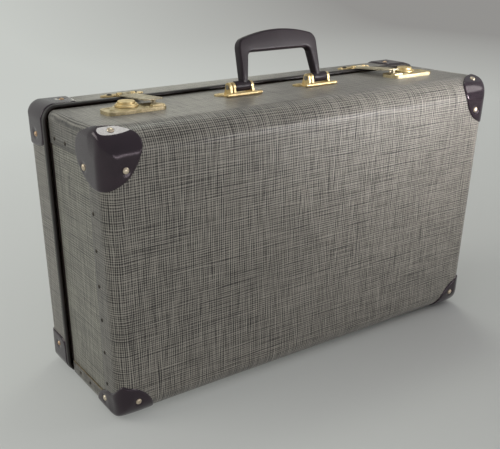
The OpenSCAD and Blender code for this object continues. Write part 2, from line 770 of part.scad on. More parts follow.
// Hasp of the right lock, drawn closed and turned up about its pin: plate, knuckle and eyed lug
module hasp_form() {
    z_plate = hasp_z - z_hasp_pin;
    lug_y = y_bolt - y_hasp_pin;
    lug_low = z_top + side_gap / 2 - z_hasp_pin;
    eye_low = lug_low + lug_foot;
    eye_w = bolt_w + 2 * side_gap;
    color("tan") translate([x_hasp, y_hasp_pin, z_hasp_pin]) rotate([-hasp_pop, 0, 0]) difference() {
        union() {
            translate([0, -hasp_l / 2 - hasp_knuckle_r, z_plate]) linear_extrude(hasp_t)
                rounded_rect(hasp_w, hasp_l - 2 * hasp_knuckle_r, 3);
            translate([-hasp_knuckle_l / 2, -hasp_knuckle_r - 4, z_plate])
                cube([hasp_knuckle_l, hasp_knuckle_r + 4, hasp_t]);
            rotate([0, 90, 0]) cylinder(r = hasp_knuckle_r, h = hasp_knuckle_l, center = true);
            translate([-lug_t / 2, lug_y - lug_w / 2, lug_low]) cube([lug_t, lug_w, z_plate - lug_low + 0.5]);
        }
        translate([-lug_t, lug_y - eye_w / 2, eye_low])
            cube([2 * lug_t, eye_w, z_bolt + bolt_t + side_gap / 2 - z_hasp_pin - eye_low]);
        rotate([0, 90, 0]) cylinder(r = hasp_pin_r + run_gap, h = hasp_w, center = true);
    }
}

module hasp_left() mirror([1, 0, 0]) hasp_form();

module hasp_right() hasp_form();

// Keeper of the right hasp: bow-tie plate on the lid with two knuckles at its front
module keeper_form() {
    knuckle_x = hasp_knuckle_l / 2 + side_gap;
    bed = z_hasp_pin - z_lid_top;
    color("gold") translate([x_hasp, 0, z_lid_top]) difference() {
        union() {
            translate([0, keeper_y, 0]) linear_extrude(keeper_t) {
                square([screw_span, keeper_waist], center = true);
                for (sx = [-1, 1]) {
                    translate([sx * screw_span / 2, 0]) circle(keeper_d / 2);
                    translate([sx * (keeper_w / 2 - 4), 0]) circle(4);
                    translate([sx * (keeper_w + screw_span) / 4 - (keeper_w - screw_span) / 4 + 2, -4])
                        square([(keeper_w - screw_span) / 2 - 4, 8]);
                }
            }
            for (sx = [-1, 1]) translate([sx * (knuckle_x + keeper_knuckle_l / 2), 0, 0]) {
                translate([-keeper_knuckle_l / 2, y_hasp_pin, 0])
                    cube([keeper_knuckle_l, keeper_y - y_hasp_pin, keeper_t]);
                translate([0, y_hasp_pin, bed]) rotate([0, 90, 0])
                    cylinder(r = hasp_knuckle_r, h = keeper_knuckle_l, center = true);
                translate([-keeper_knuckle_l / 2, y_hasp_pin - hasp_knuckle_r, 0])
                    cube([keeper_knuckle_l, 2 * hasp_knuckle_r, bed]);
            }
        }
        translate([0, y_hasp_pin, bed]) rotate([0, 90, 0])
            cylinder(r = hasp_pin_r + seat_gap, h = keeper_w, center = true);
        for (sx = [-1, 1]) translate([sx * screw_span / 2, keeper_y, -cut])
            cylinder(r = screw_shank_r + seat_gap, h = keeper_t + 2 * cut);
    }
}

module keeper_left() mirror([1, 0, 0]) keeper_form();

module keeper_right() keeper_form();

// Round-headed slotted screws of both keepers
module keeper_screws() {
    color("dimgray") for (m = [0, 1]) mirror([m, 0, 0])
        for (sx = [-1, 1]) translate([x_hasp + sx * screw_span / 2, keeper_y, z_lid_top + keeper_t + seat_gap])
            difference() {
                rivet(screw_r, screw_h, screw_shank_r, keeper_t);
                translate([-screw_r, -screw_slot / 2, screw_h / 2]) cube([2 * screw_r, screw_slot, screw_h]);
            }
}

// Pins of both hasps
module hasp_pins() {
    pin_l = hasp_knuckle_l + 2 * (side_gap + keeper_knuckle_l);
    color("silver") for (m = [0, 1]) mirror([m, 0, 0])
        translate([x_hasp, y_hasp_pin, z_hasp_pin]) rotate([0, 90, 0])
            cylinder(r = hasp_pin_r, h = pin_l, center = true);
}

// Lid sheet, its edge held in the binding's channel
module lid_shell() {
    nose = (bead_proud + lid_wall + bead_inner) / 2;
    depth = lid_d - nose - seat_gap;
    color("darkkhaki") at_lid() difference() {
        tray_form(lid_w, lid_h, depth, lid_side_r, lid_face_r);
        translate([0, lid_wall, 0])
            tray_form(lid_w - 2 * lid_wall, lid_h - 2 * lid_wall, depth, lid_side_r - lid_wall, lid_face_r - lid_wall);
    }
}

// Round-nosed binding over the lid's edge, notched for the hinge leaves
module lid_rim() {
    inner = lid_wall + bead_inner;
    nose = (bead_proud + inner) / 2;
    color("#241a1c") difference() {
        translate([0, y_bead, z_lid_mid]) frame_sweep(lid_w, lid_h, lid_side_r) difference() {
            union() {
                translate([bead_proud - nose, nose]) circle(nose);
                translate([-inner, nose]) square([2 * nose, bead_w - nose - 1]);
                translate([0, nose]) square([bead_proud, bead_w - nose]);
            }
            translate([-lid_wall - seat_gap, nose]) square([lid_wall + 2 * seat_gap, bead_w]);
        }
        for (x = hinge_x) translate([x - hinge_w / 2 - side_gap, y_bead - cut, z_low - 2 * bead_proud])
            cube([hinge_w + 2 * side_gap, bead_w + 2 * cut, 2 * bead_proud]);
    }
}

// Lining skin of the lid
module lid_lining() {
    face = lid_wall + seat_gap;
    depth = lid_d - bead_w - face;
    color("wheat") at_lid() difference() {
        translate([0, face, 0])
            tray_form(lid_w - 2 * face, lid_h - 2 * face, depth, lid_side_r - face, lid_face_r - face);
        translate([0, face + lining_t, 0])
            tray_form(lid_w - 2 * (face + lining_t), lid_h - 2 * (face + lining_t), depth,
                lid_side_r - face - lining_t, lid_face_r - face - lining_t);
    }
}

// Frames of the three rivets of a lid cap, for the corner at -X and +Z of the lid's own frame
module on_lid_top() translate([lid_edge_rivet - x_lid_end, lid_side_mid, lid_h / 2]) children();

module on_lid_side() translate([-x_lid_end, lid_side_mid, lid_h / 2 - lid_edge_rivet]) rotate([0, -90, 0]) children();

module on_lid_back() translate([lid_back_rivet - x_lid_end, 0, lid_h / 2 - lid_back_rivet]) rotate([90, 0, 0]) children();

// Moulded cap of a lid corner, in the lid's own frame: two tongues up to the binding and a back lobe
module lid_cap_form() {
    tip = lid_side_d * 0.4;
    difference() {
        intersection() {
            translate([0, -cap_t, 0])
                tray_form(lid_w + 2 * cap_t, lid_h + 2 * cap_t, lid_side_d + cap_t, lid_side_r + cap_t, lid_face_r + cap_t);
            translate([-x_lid_end, 0, lid_h / 2]) mirror([0, 0, 1]) union() {
                translate([0, lid_face_r, 0]) rotate([90, 0, 0])
                    linear_extrude(lid_face_r + cap_t + cut) lobe(lid_cap_reach, lid_cap_reach, lobe_r);
                translate([0, 0, -cap_t - cut]) linear_extrude(lid_side_r + cap_t + cut)
                    lobe(lid_cap_reach, lid_side_d, tip);
                translate([-cap_t - cut, 0, 0]) rotate([90, 0, 90]) linear_extrude(lid_side_r + cap_t + cut)
                    lobe(lid_side_d, lid_cap_reach, tip);
            }
        }
        translate([0, -seat_gap, 0])
            tray_form(lid_w + 2 * seat_gap, lid_h + 2 * seat_gap, lid_d, lid_side_r + seat_gap, lid_face_r + seat_gap);
        on_lid_top() dish();
        on_lid_side() dish();
        on_lid_back() dish();
    }
}

module lid_cap(right, bottom) {
    color("#2b2026") at_lid() mirror([right, 0, 0]) mirror([0, 0, bottom]) lid_cap_form();
}

module lid_cap_top_left() lid_cap(0, 0);

module lid_cap_top_right() lid_cap(1, 0);

module lid_cap_bottom_left() lid_cap(0, 1);

module lid_cap_bottom_right() lid_cap(1, 1);

// Rivets of the lid's caps; those under the case stay inside their dishes
module lid_cap_rivets() {
    low_head = foot_rivet_h - dish_d * pow(cap_rivet_r / dish_r, 2);
    color("goldenrod") at_lid() for (right = [0, 1], bottom = [0, 1])
        mirror([right, 0, 0]) mirror([0, 0, bottom]) {
            on_lid_back() cap_rivet(cap_rivet_h);
            on_lid_top() cap_rivet(bottom == 1 ? low_head : cap_rivet_h);
            on_lid_side() cap_rivet(cap_rivet_h);
        }
}

// Rivet places on a hinge leaf, from its middle and the axis
function leaf_rivets() = [for (sx = [-1, 1]) [sx * hinge_w * 0.3, hinge_relief + leaf_l * 0.55]];

// Leaf of one hinge, lying to +Y of the axis, drilled for its rivets
module hinge_leaf(gap_w, tab_w, tab_x) {
    leaf_end = seam_gap / 2 + leaf_l;
    difference() {
        union() {
            translate([-hinge_w / 2, hinge_relief, -knuckle_r]) cube([hinge_w, leaf_end - hinge_relief, leaf_t]);
            for (x = tab_x) translate([x - tab_w / 2, 0, 0]) {
                translate([0, 0, -knuckle_r]) cube([tab_w, hinge_relief + cut, leaf_t]);
                rotate([0, 90, 0]) cylinder(r = knuckle_r, h = tab_w);
            }
        }
        translate([-hinge_w / 2 - cut, 0, 0]) rotate([0, 90, 0]) cylinder(r = hinge_pin_r + gap_w, h = hinge_w + 2 * cut);
        for (p = leaf_rivets()) translate([p[0], p[1], -knuckle_r - cut])
            cylinder(r = 1.2 + seat_gap, h = leaf_t + 2 * cut);
    }
}

// Tray leaves carry the two outer knuckles of each hinge
module tray_hinge_leaves() {
    outer = (hinge_w - mid_knuckle) / 2 - side_gap;
    color("darkgoldenrod") for (x = hinge_x) translate([x, y_hinge, z_hinge]) mirror([0, 1, 0])
        hinge_leaf(seat_gap, outer, [for (sx = [-1, 1]) sx * (hinge_w - outer) / 2]);
}

// Lid leaves carry the middle knuckle of each hinge
module lid_hinge_leaves() {
    color("darkgoldenrod") for (x = hinge_x) translate([x, y_hinge, z_hinge])
        hinge_leaf(run_gap, mid_knuckle, [0]);
}

module hinge_pins() {
    color("silver") for (x = hinge_x) translate([x - hinge_w / 2, y_hinge, z_hinge])
        rotate([0, 90, 0]) cylinder(r = hinge_pin_r, h = hinge_w);
}

// Rivets of one row of leaves, heads down
module hinge_rivets(turn) {
    color("darkgoldenrod") for (x = hinge_x) translate([x, y_hinge, z_hinge]) mirror([0, turn, 0])
        for (p = leaf_rivets()) translate([p[0], p[1], -knuckle_r - seat_gap]) mirror([0, 0, 1])
            rivet(hinge_rivet_r, hinge_rivet_h, 1.2, leaf_t);
}

module tray_hinge_rivets() hinge_rivets(1);

module lid_hinge_rivets() hinge_rivets(0);

tray_wrap();
end_panel_left();
end_panel_right();
flange_rivets();
tray_rim();
tray_lining();
cap_top_left();
cap_top_right();
cap_bottom_left();
cap_bottom_right();
tray_cap_rivets();
bracket_left();
bracket_right();
bracket_rivets();
handle_pins();
lock_plate_left();
lock_plate_right();
plate_rivets();
tray_hinge_leaves();
hinge_pins();
tray_hinge_rivets();
lid_shell();
lid_rim();
lid_lining();
lid_cap_top_left();
lid_cap_top_right();
lid_cap_bottom_left();
lid_cap_bottom_right();
lid_cap_rivets();
keeper_left();
keeper_right();
keeper_screws();
hasp_pins();
lid_hinge_leaves();
lid_hinge_rivets();
handle();
hasp_left();
hasp_right();
button_left();
button_right();
bolt_left();
bolt_right();
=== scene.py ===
import math

import bpy
import numpy as np
from mathutils import Matrix, Vector


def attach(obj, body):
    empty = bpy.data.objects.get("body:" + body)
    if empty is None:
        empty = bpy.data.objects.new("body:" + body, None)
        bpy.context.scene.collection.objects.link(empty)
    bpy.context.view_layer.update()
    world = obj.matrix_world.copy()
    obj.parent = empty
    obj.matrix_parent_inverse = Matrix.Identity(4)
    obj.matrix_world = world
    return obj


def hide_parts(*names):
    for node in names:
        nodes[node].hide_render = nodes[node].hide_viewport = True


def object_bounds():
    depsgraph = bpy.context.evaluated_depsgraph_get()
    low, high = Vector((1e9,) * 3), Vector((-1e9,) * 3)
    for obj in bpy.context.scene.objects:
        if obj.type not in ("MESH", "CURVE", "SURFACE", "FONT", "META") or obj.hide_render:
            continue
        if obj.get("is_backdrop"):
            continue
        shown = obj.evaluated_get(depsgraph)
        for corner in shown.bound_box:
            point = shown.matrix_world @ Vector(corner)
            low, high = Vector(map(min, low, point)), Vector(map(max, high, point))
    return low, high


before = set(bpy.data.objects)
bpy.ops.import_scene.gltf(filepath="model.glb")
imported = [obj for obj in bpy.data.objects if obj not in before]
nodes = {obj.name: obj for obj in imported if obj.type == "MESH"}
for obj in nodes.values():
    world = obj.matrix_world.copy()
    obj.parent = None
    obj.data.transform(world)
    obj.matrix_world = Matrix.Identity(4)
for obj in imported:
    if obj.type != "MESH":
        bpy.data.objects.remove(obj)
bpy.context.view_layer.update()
print("frame loaded:", len(nodes), "nodes")

mm = 0.001

# overall sizes of the case in mm; y counts from the front face, z from the underside
case = dict(
    width=620.0, height=362.0, trayDepth=143.0, seam=6.5, lidDepth=57.5, lidOver=3.0,
    faceR=18.0, topR=30.0, sideR=9.0, lidFaceR=13.0, lidSideR=18.0, lift=2.2,
)
totalDepth = case["trayDepth"] + case["seam"] + case["lidDepth"]
yFront = -totalDepth / 2
yBack = totalDepth / 2
zLow = case["lift"]
zTop = zLow + case["height"]
lidWidth = case["width"] + 2 * case["lidOver"]
lidHeight = case["height"] + case["lidOver"]
zLidTop = zLow + lidHeight


# materials

class Shader:
    # short way to add and link nodes of one material
    sockets = dict(color="Base Color", rough="Roughness", metal="Metallic", coat="Coat Weight",
                   coatRough="Coat Roughness", spec="Specular IOR Level", specTint="Specular Tint",
                   sheen="Sheen Weight", sheenRough="Sheen Roughness")

    def __init__(self, name):
        self.mat = bpy.data.materials.new(name)
        self.mat.use_nodes = True
        self.tree = self.mat.node_tree
        self.bsdf = self.tree.nodes["Principled BSDF"]

    def add(self, kind, **props):
        node = self.tree.nodes.new("ShaderNode" + kind)
        for key, value in props.items():
            setattr(node, key, value)
        return node

    def link(self, a, b):
        self.tree.links.new(a, b)

    def feed(self, socket, value):
        # a number or a colour is set on the socket itself, anything else is linked to it
        if isinstance(value, (int, float)):
            socket.default_value = value
        elif isinstance(value, tuple):
            socket.default_value = (*value, 1)
        else:
            self.link(value, socket)

    def coords(self, kind):
        return self.add("TexCoord").outputs[kind]

    def apart(self, vector):
        node = self.add("SeparateXYZ")
        self.link(vector, node.inputs["Vector"])
        return node.outputs

    def mapping(self, source, scale=(1, 1, 1), turn=(0, 0, 0), move=(0, 0, 0)):
        node = self.add("Mapping")
        node.inputs["Scale"].default_value = scale
        node.inputs["Rotation"].default_value = turn
        node.inputs["Location"].default_value = move
        self.link(source, node.inputs["Vector"])
        return node.outputs["Vector"]

    def grain(self, source, size, detail, rough, turn=(0, 0, 0), move=(0, 0, 0)):
        # noise with size cells to the metre, the same every way or one number for each axis
        scale = size if isinstance(size, tuple) else (size, size, size)
        node = self.add("TexNoise")
        node.inputs["Scale"].default_value = 1.0
        node.inputs["Detail"].default_value = detail
        node.inputs["Roughness"].default_value = rough
        self.link(self.mapping(source, scale, turn, move), node.inputs["Vector"])
        return node.outputs["Fac"]

    def ramp(self, fac, stops):
        node = self.add("ValToRGB")
        ramp = node.color_ramp
        while len(ramp.elements) < len(stops):
            ramp.elements.new(0.5)
        for element, (place, colour) in zip(ramp.elements, stops):
            element.position = place
            element.color = (*colour, 1)
        self.link(fac, node.inputs["Fac"])
        return node.outputs["Color"]

    def grey(self, fac, low, high, fromLow=0.0, fromHigh=1.0):
        node = self.add("MapRange")
        node.inputs["From Min"].default_value = fromLow
        node.inputs["From Max"].default_value = fromHigh
        node.inputs["To Min"].default_value = low
        node.inputs["To Max"].default_value = high
        self.link(fac, node.inputs["Value"])
        return node.outputs["Result"]

    def math(self, op, a, b=0):
        node = self.add("Math", operation=op)
        for socket, value in zip(node.inputs, (a, b)):
            self.feed(socket, value)
        return node.outputs["Value"]

    def plus(self, a, b):
        return self.math("ADD", a, b)

    def less(self, a, b):
        return self.math("SUBTRACT", a, b)

    def times(self, a, b):
        return self.math("MULTIPLY", a, b)

    def mix(self, fac, a, b, blend="MIX"):
        node = self.add("Mix", data_type="RGBA", blend_type=blend)
        for socket, value in ((node.inputs[0], fac), (node.inputs[6], a), (node.inputs[7], b)):
            self.feed(socket, value)
        return node.outputs[2]

    def bump(self, height, strength, distance):
        node = self.add("Bump")
        node.inputs["Strength"].default_value = strength
        node.inputs["Distance"].default_value = distance
        self.link(height, node.inputs["Height"])
        self.link(node.outputs["Normal"], self.bsdf.inputs["Normal"])

    def set(self, **values):
        for key, value in values.items():
            self.feed(self.bsdf.inputs[self.sockets[key]], value)


# sizes of noise are cells to the metre, pitches and depths are in metres
clothLook = dict(
    pale=(0.385, 0.358, 0.312), mid=(0.190, 0.174, 0.150), dark=(0.030, 0.026, 0.025),
    stops=(0.08, 0.45, 0.95),
    warp=(860.0, 22.0, 1), weft=(17.0, 760.0, 1), warpShare=1.7, weftShare=1.2, twist=0.6, threadRough=0.55,
    strayWarp=(560.0, 10.0, 1), strayWeft=(8.0, 480.0, 1), strayShare=0.6, strayFrom=(0.66, 0.86),
    warpPitch=0.0027, weftPitch=0.0030, warpWander=(150.0, 18.0, 1), weftWander=(14.0, 130.0, 1), wander=9.0,
    warpRow=0.85, weftRow=0.68, fine=(1500, 1500, 1), fineShare=0.25, lift=0.42,
    broad=(5, 5, 1), stain=(0.86, 1.10), stainFrom=(0.3, 0.7), green=(0.95, 1.0, 0.92),
    # distance from the middle, in metres, over which painted shade darkens the end flanges
    paintedShadeFrom=(0.303, 0.3095),
    rough=(0.28, 0.46), roughFrom=(0.3, 0.7), spec=0.42, sheen=0.1, sheenRough=0.5,
    bump=0.4, bumpDepth=0.0002, hatchBump=0.6,
)


def clothShader(name, coordKind, turn=(0, 0, 0), greener=0.0, paintedFlangeShade=1.0):
    # crosshatch covering: fine noise stretched along the warp and along the weft, plus rows of wandering sine
    # threads both ways and a few long dark strays, over broad stains; the flanges on the ends are darkened
    # with painted shade
    look = clothLook
    s = Shader(name)
    base = s.mapping(s.coords(coordKind), turn=turn)
    flat = s.apart(base)

    def threads(size, move, detail):
        turn = (0, 0, look["twist"])
        return s.grain(base, size, detail=detail, rough=look["threadRough"], turn=turn, move=move)

    def stray(size, move):
        return s.grey(threads(size, move, detail=0.0), 0.0, look["strayShare"], *look["strayFrom"])

    def rows(axis, pitch, wander, strength):
        phase = s.times(s.grain(base, wander, detail=1.0, rough=0.5), look["wander"])
        wave = s.math("SINE", s.plus(s.times(flat[axis], 2 * math.pi / pitch), phase))
        share = s.grain(base, wander, detail=1.0, rough=0.5, move=(4, 8, 0))
        return s.times(wave, s.times(share, strength))

    warp = s.times(s.less(threads(look["warp"], move=(0, 0, 0), detail=1.0), 0.5), look["warpShare"])
    weft = s.times(s.less(threads(look["weft"], move=(7, 3, 0), detail=1.0), 0.5), look["weftShare"])
    strays = s.math("MAXIMUM", stray(look["strayWarp"], move=(3, 9, 0)),
                    stray(look["strayWeft"], move=(5, 1, 0)))
    warp = s.plus(warp, rows("X", look["warpPitch"], look["warpWander"], look["warpRow"]))
    weft = s.plus(weft, rows("Y", look["weftPitch"], look["weftWander"], look["weftRow"]))
    fine = s.grain(base, look["fine"], detail=1.0, rough=0.5)
    hatch = s.plus(s.plus(warp, weft), strays)
    hatch = s.plus(s.plus(hatch, s.times(s.less(fine, 0.5), look["fineShare"])), look["lift"])
    colour = s.ramp(hatch, list(zip(look["stops"], (look["pale"], look["mid"], look["dark"]))))
    # painted shade: the flanges at both ends are darkened by the given factor, which is multiplied into the
    # stains below
    ends = s.grey(s.math("ABSOLUTE", s.apart(s.coords("Object"))["X"]), 1.0, paintedFlangeShade, *look["paintedShadeFrom"])
    broad = s.grain(base, look["broad"], detail=3.0, rough=0.55, move=(2, 5, 0))
    stain = s.times(s.grey(broad, *look["stain"], *look["stainFrom"]), ends)
    stainedAndShaded = s.mix(1.0, colour, s.mix(stain, (0, 0, 0), (1, 1, 1)), "MULTIPLY")
    tint = s.mix(greener, stainedAndShaded, s.mix(1.0, stainedAndShaded, look["green"], "MULTIPLY"))
    s.set(color=tint, rough=s.grey(fine, *look["rough"], *look["roughFrom"]), spec=look["spec"],
          sheen=look["sheen"], sheenRough=look["sheenRough"])
    s.bump(s.less(fine, s.times(hatch, look["hatchBump"])), look["bump"], look["bumpDepth"])
    return s.mat


rawLook = dict(dirt=(0.12, 0.09, 0.05), tan=(0.33, 0.26, 0.16), pale=(0.46, 0.38, 0.25),
               stops=(0.25, 0.5, 0.8), blot=90, rough=0.8, spec=0.2, bump=0.3, bumpDepth=0.0003)


def rawFibreShader():
    # cut edge of the fibre sheet: tan, mottled, darkened by dirt
    look = rawLook
    s = Shader("rawFibre")
    blot = s.grain(s.coords("Object"), look["blot"], detail=4.0, rough=0.6)
    colour = s.ramp(blot, list(zip(look["stops"], (look["dirt"], look["tan"], look["pale"]))))
    s.set(color=colour, rough=look["rough"], spec=look["spec"])
    s.bump(blot, look["bump"], look["bumpDepth"])
    return s.mat


capLook = dict(deep=(0.010, 0.005, 0.009), body=(0.022, 0.012, 0.018), worn=(0.050, 0.036, 0.042),
               cloud=28, cloudStops=(0.25, 0.7), scuff=(900, 160, 420), scuffTurn=(0.4, 0.2, 0.7), grain=1400,
               scuffFrom=(0.66, 0.82), scuffShare=0.25, edgeFrom=(0.515, 0.56), edgeShare=0.3,
               rough=(0.10, 0.26), roughFrom=(0.35, 0.75), spec=0.5, specTint=(1.0, 0.84, 0.94),
               coat=0.2, coatRough=0.05, bump=0.06, bumpDepth=0.0004, cloudBump=6.0)


def capShader():
    # moulded fibre: near-black aubergine, cloudy, paler on scuffs and sharp edges
    look = capLook
    s = Shader("capFibre")
    at = s.coords("Object")
    cloud = s.grain(at, look["cloud"], detail=4.0, rough=0.6)
    scuff = s.grain(at, look["scuff"], detail=3.0, rough=0.6, turn=look["scuffTurn"])
    grain = s.grain(at, look["grain"], detail=2.0, rough=0.5)
    edge = s.grey(s.add("NewGeometry").outputs["Pointiness"], 0.0, 1.0, *look["edgeFrom"])
    marks = s.grey(scuff, 0.0, look["scuffShare"], *look["scuffFrom"])
    colour = s.ramp(cloud, list(zip(look["cloudStops"], (look["deep"], look["body"]))))
    colour = s.mix(s.math("MAXIMUM", marks, s.times(edge, look["edgeShare"])), colour, look["worn"])
    s.set(color=colour, rough=s.grey(scuff, *look["rough"], *look["roughFrom"]), spec=look["spec"],
          specTint=look["specTint"], coat=look["coat"], coatRough=look["coatRough"])
    s.bump(s.plus(grain, s.times(cloud, look["cloudBump"])), look["bump"], look["bumpDepth"])
    return s.mat


bindingLook = dict(deep=(0.008, 0.006, 0.006), body=(0.030, 0.021, 0.018), stops=(0.3, 0.75), blot=60,
                   grain=1100, rough=(0.32, 0.5), roughFrom=(0.3, 0.7), spec=0.45, bump=0.15,
                   bumpDepth=0.0003)


def bindingShader():
    # edge binding: brown-black, blotched and finely grained
    look = bindingLook
    s = Shader("edgeBinding")
    at = s.coords("Object")
    blot = s.grain(at, look["blot"], detail=4.0, rough=0.6)
    grain = s.grain(at, look["grain"], detail=2.0, rough=0.5)
    s.set(color=s.ramp(blot, list(zip(look["stops"], (look["deep"], look["body"])))),
          rough=s.grey(grain, *look["rough"], *look["roughFrom"]), spec=look["spec"])
    s.bump(grain, look["bump"], look["bumpDepth"])
    return s.mat


plainLook = dict(blot=14, blotShare=0.6, fibreShare=0.4, stops=(0.3, 0.7), spec=0.2, sheen=0.2,
                 sheenRough=0.5, bump=0.4, bumpDepth=0.0003)


def plainClothShader(name, low, high, fibres, rough):
    # lining or valance: fine fibre noise over cloudy colour
    look = plainLook
    s = Shader(name)
    at = s.coords("Object")
    blot = s.grain(at, look["blot"], detail=4.0, rough=0.6)
    fibre = s.grain(at, fibres, detail=2.0, rough=0.6)
    mixed = s.plus(s.times(blot, look["blotShare"]), s.times(fibre, look["fibreShare"]))
    s.set(color=s.ramp(mixed, list(zip(look["stops"], (low, high)))), rough=rough, spec=look["spec"],
          sheen=look["sheen"], sheenRough=look["sheenRough"])
    s.bump(fibre, look["bump"], look["bumpDepth"])
    return s.mat


brassLook = dict(cloud=75, spots=420, cloudShare=0.62, spotShare=0.38, stops=(0.30, 0.46, 0.62), rougher=0.16,
                 smoother=0.04, roughFrom=(0.3, 0.65), bump=0.12, bumpDepth=0.0003, pebbleBump=0.65,
                 pebbleDepth=0.0006)


def brassShader(name, tarnish, dull, shine, rough, pebble=0):
    # brass: clouded tarnish over a warm metal; pebbled brass has a grain of round cells as well
    look = brassLook
    s = Shader(name)
    at = s.coords("Object")
    cloud = s.grain(at, look["cloud"], detail=5.0, rough=0.62)
    spots = s.grain(at, look["spots"], detail=3.0, rough=0.6)
    mixed = s.plus(s.times(cloud, look["cloudShare"]), s.times(spots, look["spotShare"]))
    s.set(color=s.ramp(mixed, list(zip(look["stops"], (tarnish, dull, shine)))), metal=1.0,
          rough=s.grey(mixed, rough + look["rougher"], rough - look["smoother"], *look["roughFrom"]))
    if pebble:
        cell = s.add("TexVoronoi")
        cell.inputs["Scale"].default_value = pebble
        s.link(at, cell.inputs["Vector"])
        s.bump(cell.outputs["Distance"], look["pebbleBump"], look["pebbleDepth"])
    else:
        s.bump(spots, look["bump"], look["bumpDepth"])
    return s.mat


steelLook = dict(spots=300, stops=(0.3, 0.7), metal=0.85, smoother=0.08, rougher=0.15, bump=0.2,
                 bumpDepth=0.0002)


def steelShader(name, low, high, rough):
    # plain iron: dark and spotted
    look = steelLook
    s = Shader(name)
    spots = s.grain(s.coords("Object"), look["spots"], detail=4.0, rough=0.65)
    s.set(color=s.ramp(spots, list(zip(look["stops"], (low, high)))), metal=look["metal"],
          rough=s.grey(spots, rough - look["smoother"], rough + look["rougher"], *look["stops"]))
    s.bump(spots, look["bump"], look["bumpDepth"])
    return s.mat


handleLook = dict(deep=(0.017, 0.011, 0.015), body=(0.030, 0.021, 0.026), stops=(0.3, 0.7), cloud=22,
                  rub=(500, 700, 700), rough=(0.35, 0.44), roughFrom=(0.35, 0.7), spec=0.25, bump=0.03,
                  bumpDepth=0.0002)


def handleShader():
    # moulded plastic: plum-brown, slightly cloudy, fine rub marks along the grip
    look = handleLook
    s = Shader("handlePlastic")
    at = s.coords("Object")
    cloud = s.grain(at, look["cloud"], detail=3.0, rough=0.55)
    rub = s.grain(at, look["rub"], detail=3.0, rough=0.6)
    s.set(color=s.ramp(cloud, list(zip(look["stops"], (look["deep"], look["body"])))),
          rough=s.grey(rub, *look["rough"], *look["roughFrom"]), spec=look["spec"])
    s.bump(rub, look["bump"], look["bumpDepth"])
    return s.mat


quarterTurn = math.pi / 2
brassTones = dict(
    paleBrass=dict(rough=0.46, tarnish=(0.40, 0.33, 0.20), dull=(0.60, 0.50, 0.31), shine=(0.74, 0.63, 0.41)),
    softBrass=dict(rough=0.44, tarnish=(0.46, 0.33, 0.15), dull=(0.72, 0.56, 0.29), shine=(0.86, 0.69, 0.39)),
    dullBrass=dict(rough=0.38, tarnish=(0.30, 0.19, 0.12), dull=(0.50, 0.34, 0.22), shine=(0.66, 0.47, 0.32)),
    rivetBrass=dict(rough=0.26, tarnish=(0.40, 0.30, 0.20), dull=(0.64, 0.53, 0.40),
                    shine=(0.88, 0.78, 0.62)),
    pebbledBrass=dict(rough=0.50, tarnish=(0.32, 0.28, 0.20), dull=(0.50, 0.44, 0.32),
                      shine=(0.66, 0.59, 0.45), pebble=900),
)
brass = {name: brassShader(name, **tone) for name, tone in brassTones.items()}
# the tray's covering gets painted shade on its end flanges
frontCloth = clothShader("coveringCloth", "UV", paintedFlangeShade=0.78)
lidCloth = clothShader("lidCloth", "UV")
endCloth = clothShader("endCloth", "Object", turn=(0, quarterTurn, quarterTurn), greener=0.6)
rawFibre = rawFibreShader()
capFibre = capShader()
edgeBinding = bindingShader()
valanceCloth = plainClothShader("valanceCloth", low=(0.035, 0.010, 0.007), high=(0.085, 0.028, 0.018),
                                fibres=900, rough=0.8)
liningCloth = plainClothShader("liningCloth", low=(0.30, 0.24, 0.17), high=(0.45, 0.38, 0.28),
                               fibres=1200, rough=0.85)
darkSteel = steelShader("darkSteel", low=(0.02, 0.017, 0.015), high=(0.11, 0.095, 0.08), rough=0.45)
steel = steelShader("plainSteel", low=(0.20, 0.18, 0.16), high=(0.46, 0.44, 0.41), rough=0.35)
handlePlastic = handleShader()
print("materials made")


# mesh helpers

def makePiece(name, points, faces, mats, uv=None):
    # points in mm as an (n, 3) array, faces as a list, uv for every face corner in order
    mesh = bpy.data.meshes.new(name)
    mesh.from_pydata((np.asarray(points, float) * mm).tolist(), [], faces)
    if uv is not None:
        layer = mesh.uv_layers.new(name="threads")
        layer.data.foreach_set("uv", np.asarray(uv, np.float32).ravel())
    for mat in mats:
        mesh.materials.append(mat)
    mesh.polygons.foreach_set("use_smooth", np.full(len(mesh.polygons), True))
    mesh.update()
    obj = bpy.data.objects.new(name, mesh)
    bpy.context.scene.collection.objects.link(obj)
    return obj


def gridQuads(rows, cols, wrapCols=False, wrapRows=False):
    # quads of a rows by cols grid of points, in order of rows
    r = np.arange(rows if wrapRows else rows - 1)
    c = np.arange(cols if wrapCols else cols - 1)
    rr, cc = np.meshgrid(r, c, indexing="ij")
    rn, cn = (rr + 1) % rows, (cc + 1) % cols
    return np.stack([rr * cols + cc, rr * cols + cn, rn * cols + cn, rn * cols + cc], -1).reshape(-1, 4)


def place(obj, body, slotName, *hidden):
    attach(obj, body)
    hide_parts(*hidden)


def thicken(obj, thick, rim=0):
    # wall inwards from the surface; its cut rim takes the material that many places on
    wall = obj.modifiers.new("sheet", "SOLIDIFY")
    wall.thickness = thick * mm
    wall.offset = -1
    wall.material_offset_rim = rim


def endRings(rows, cols):
    # first and last ring of a grid as the two faces that close it
    ring = np.arange(cols)
    return np.stack([ring[::-1], ring + (rows - 1) * cols])


# corner radius of a pan: share lost on the flat face, least radius left and steps round it
panCorner = dict(lost=0.98, least=0.3, steps=10)


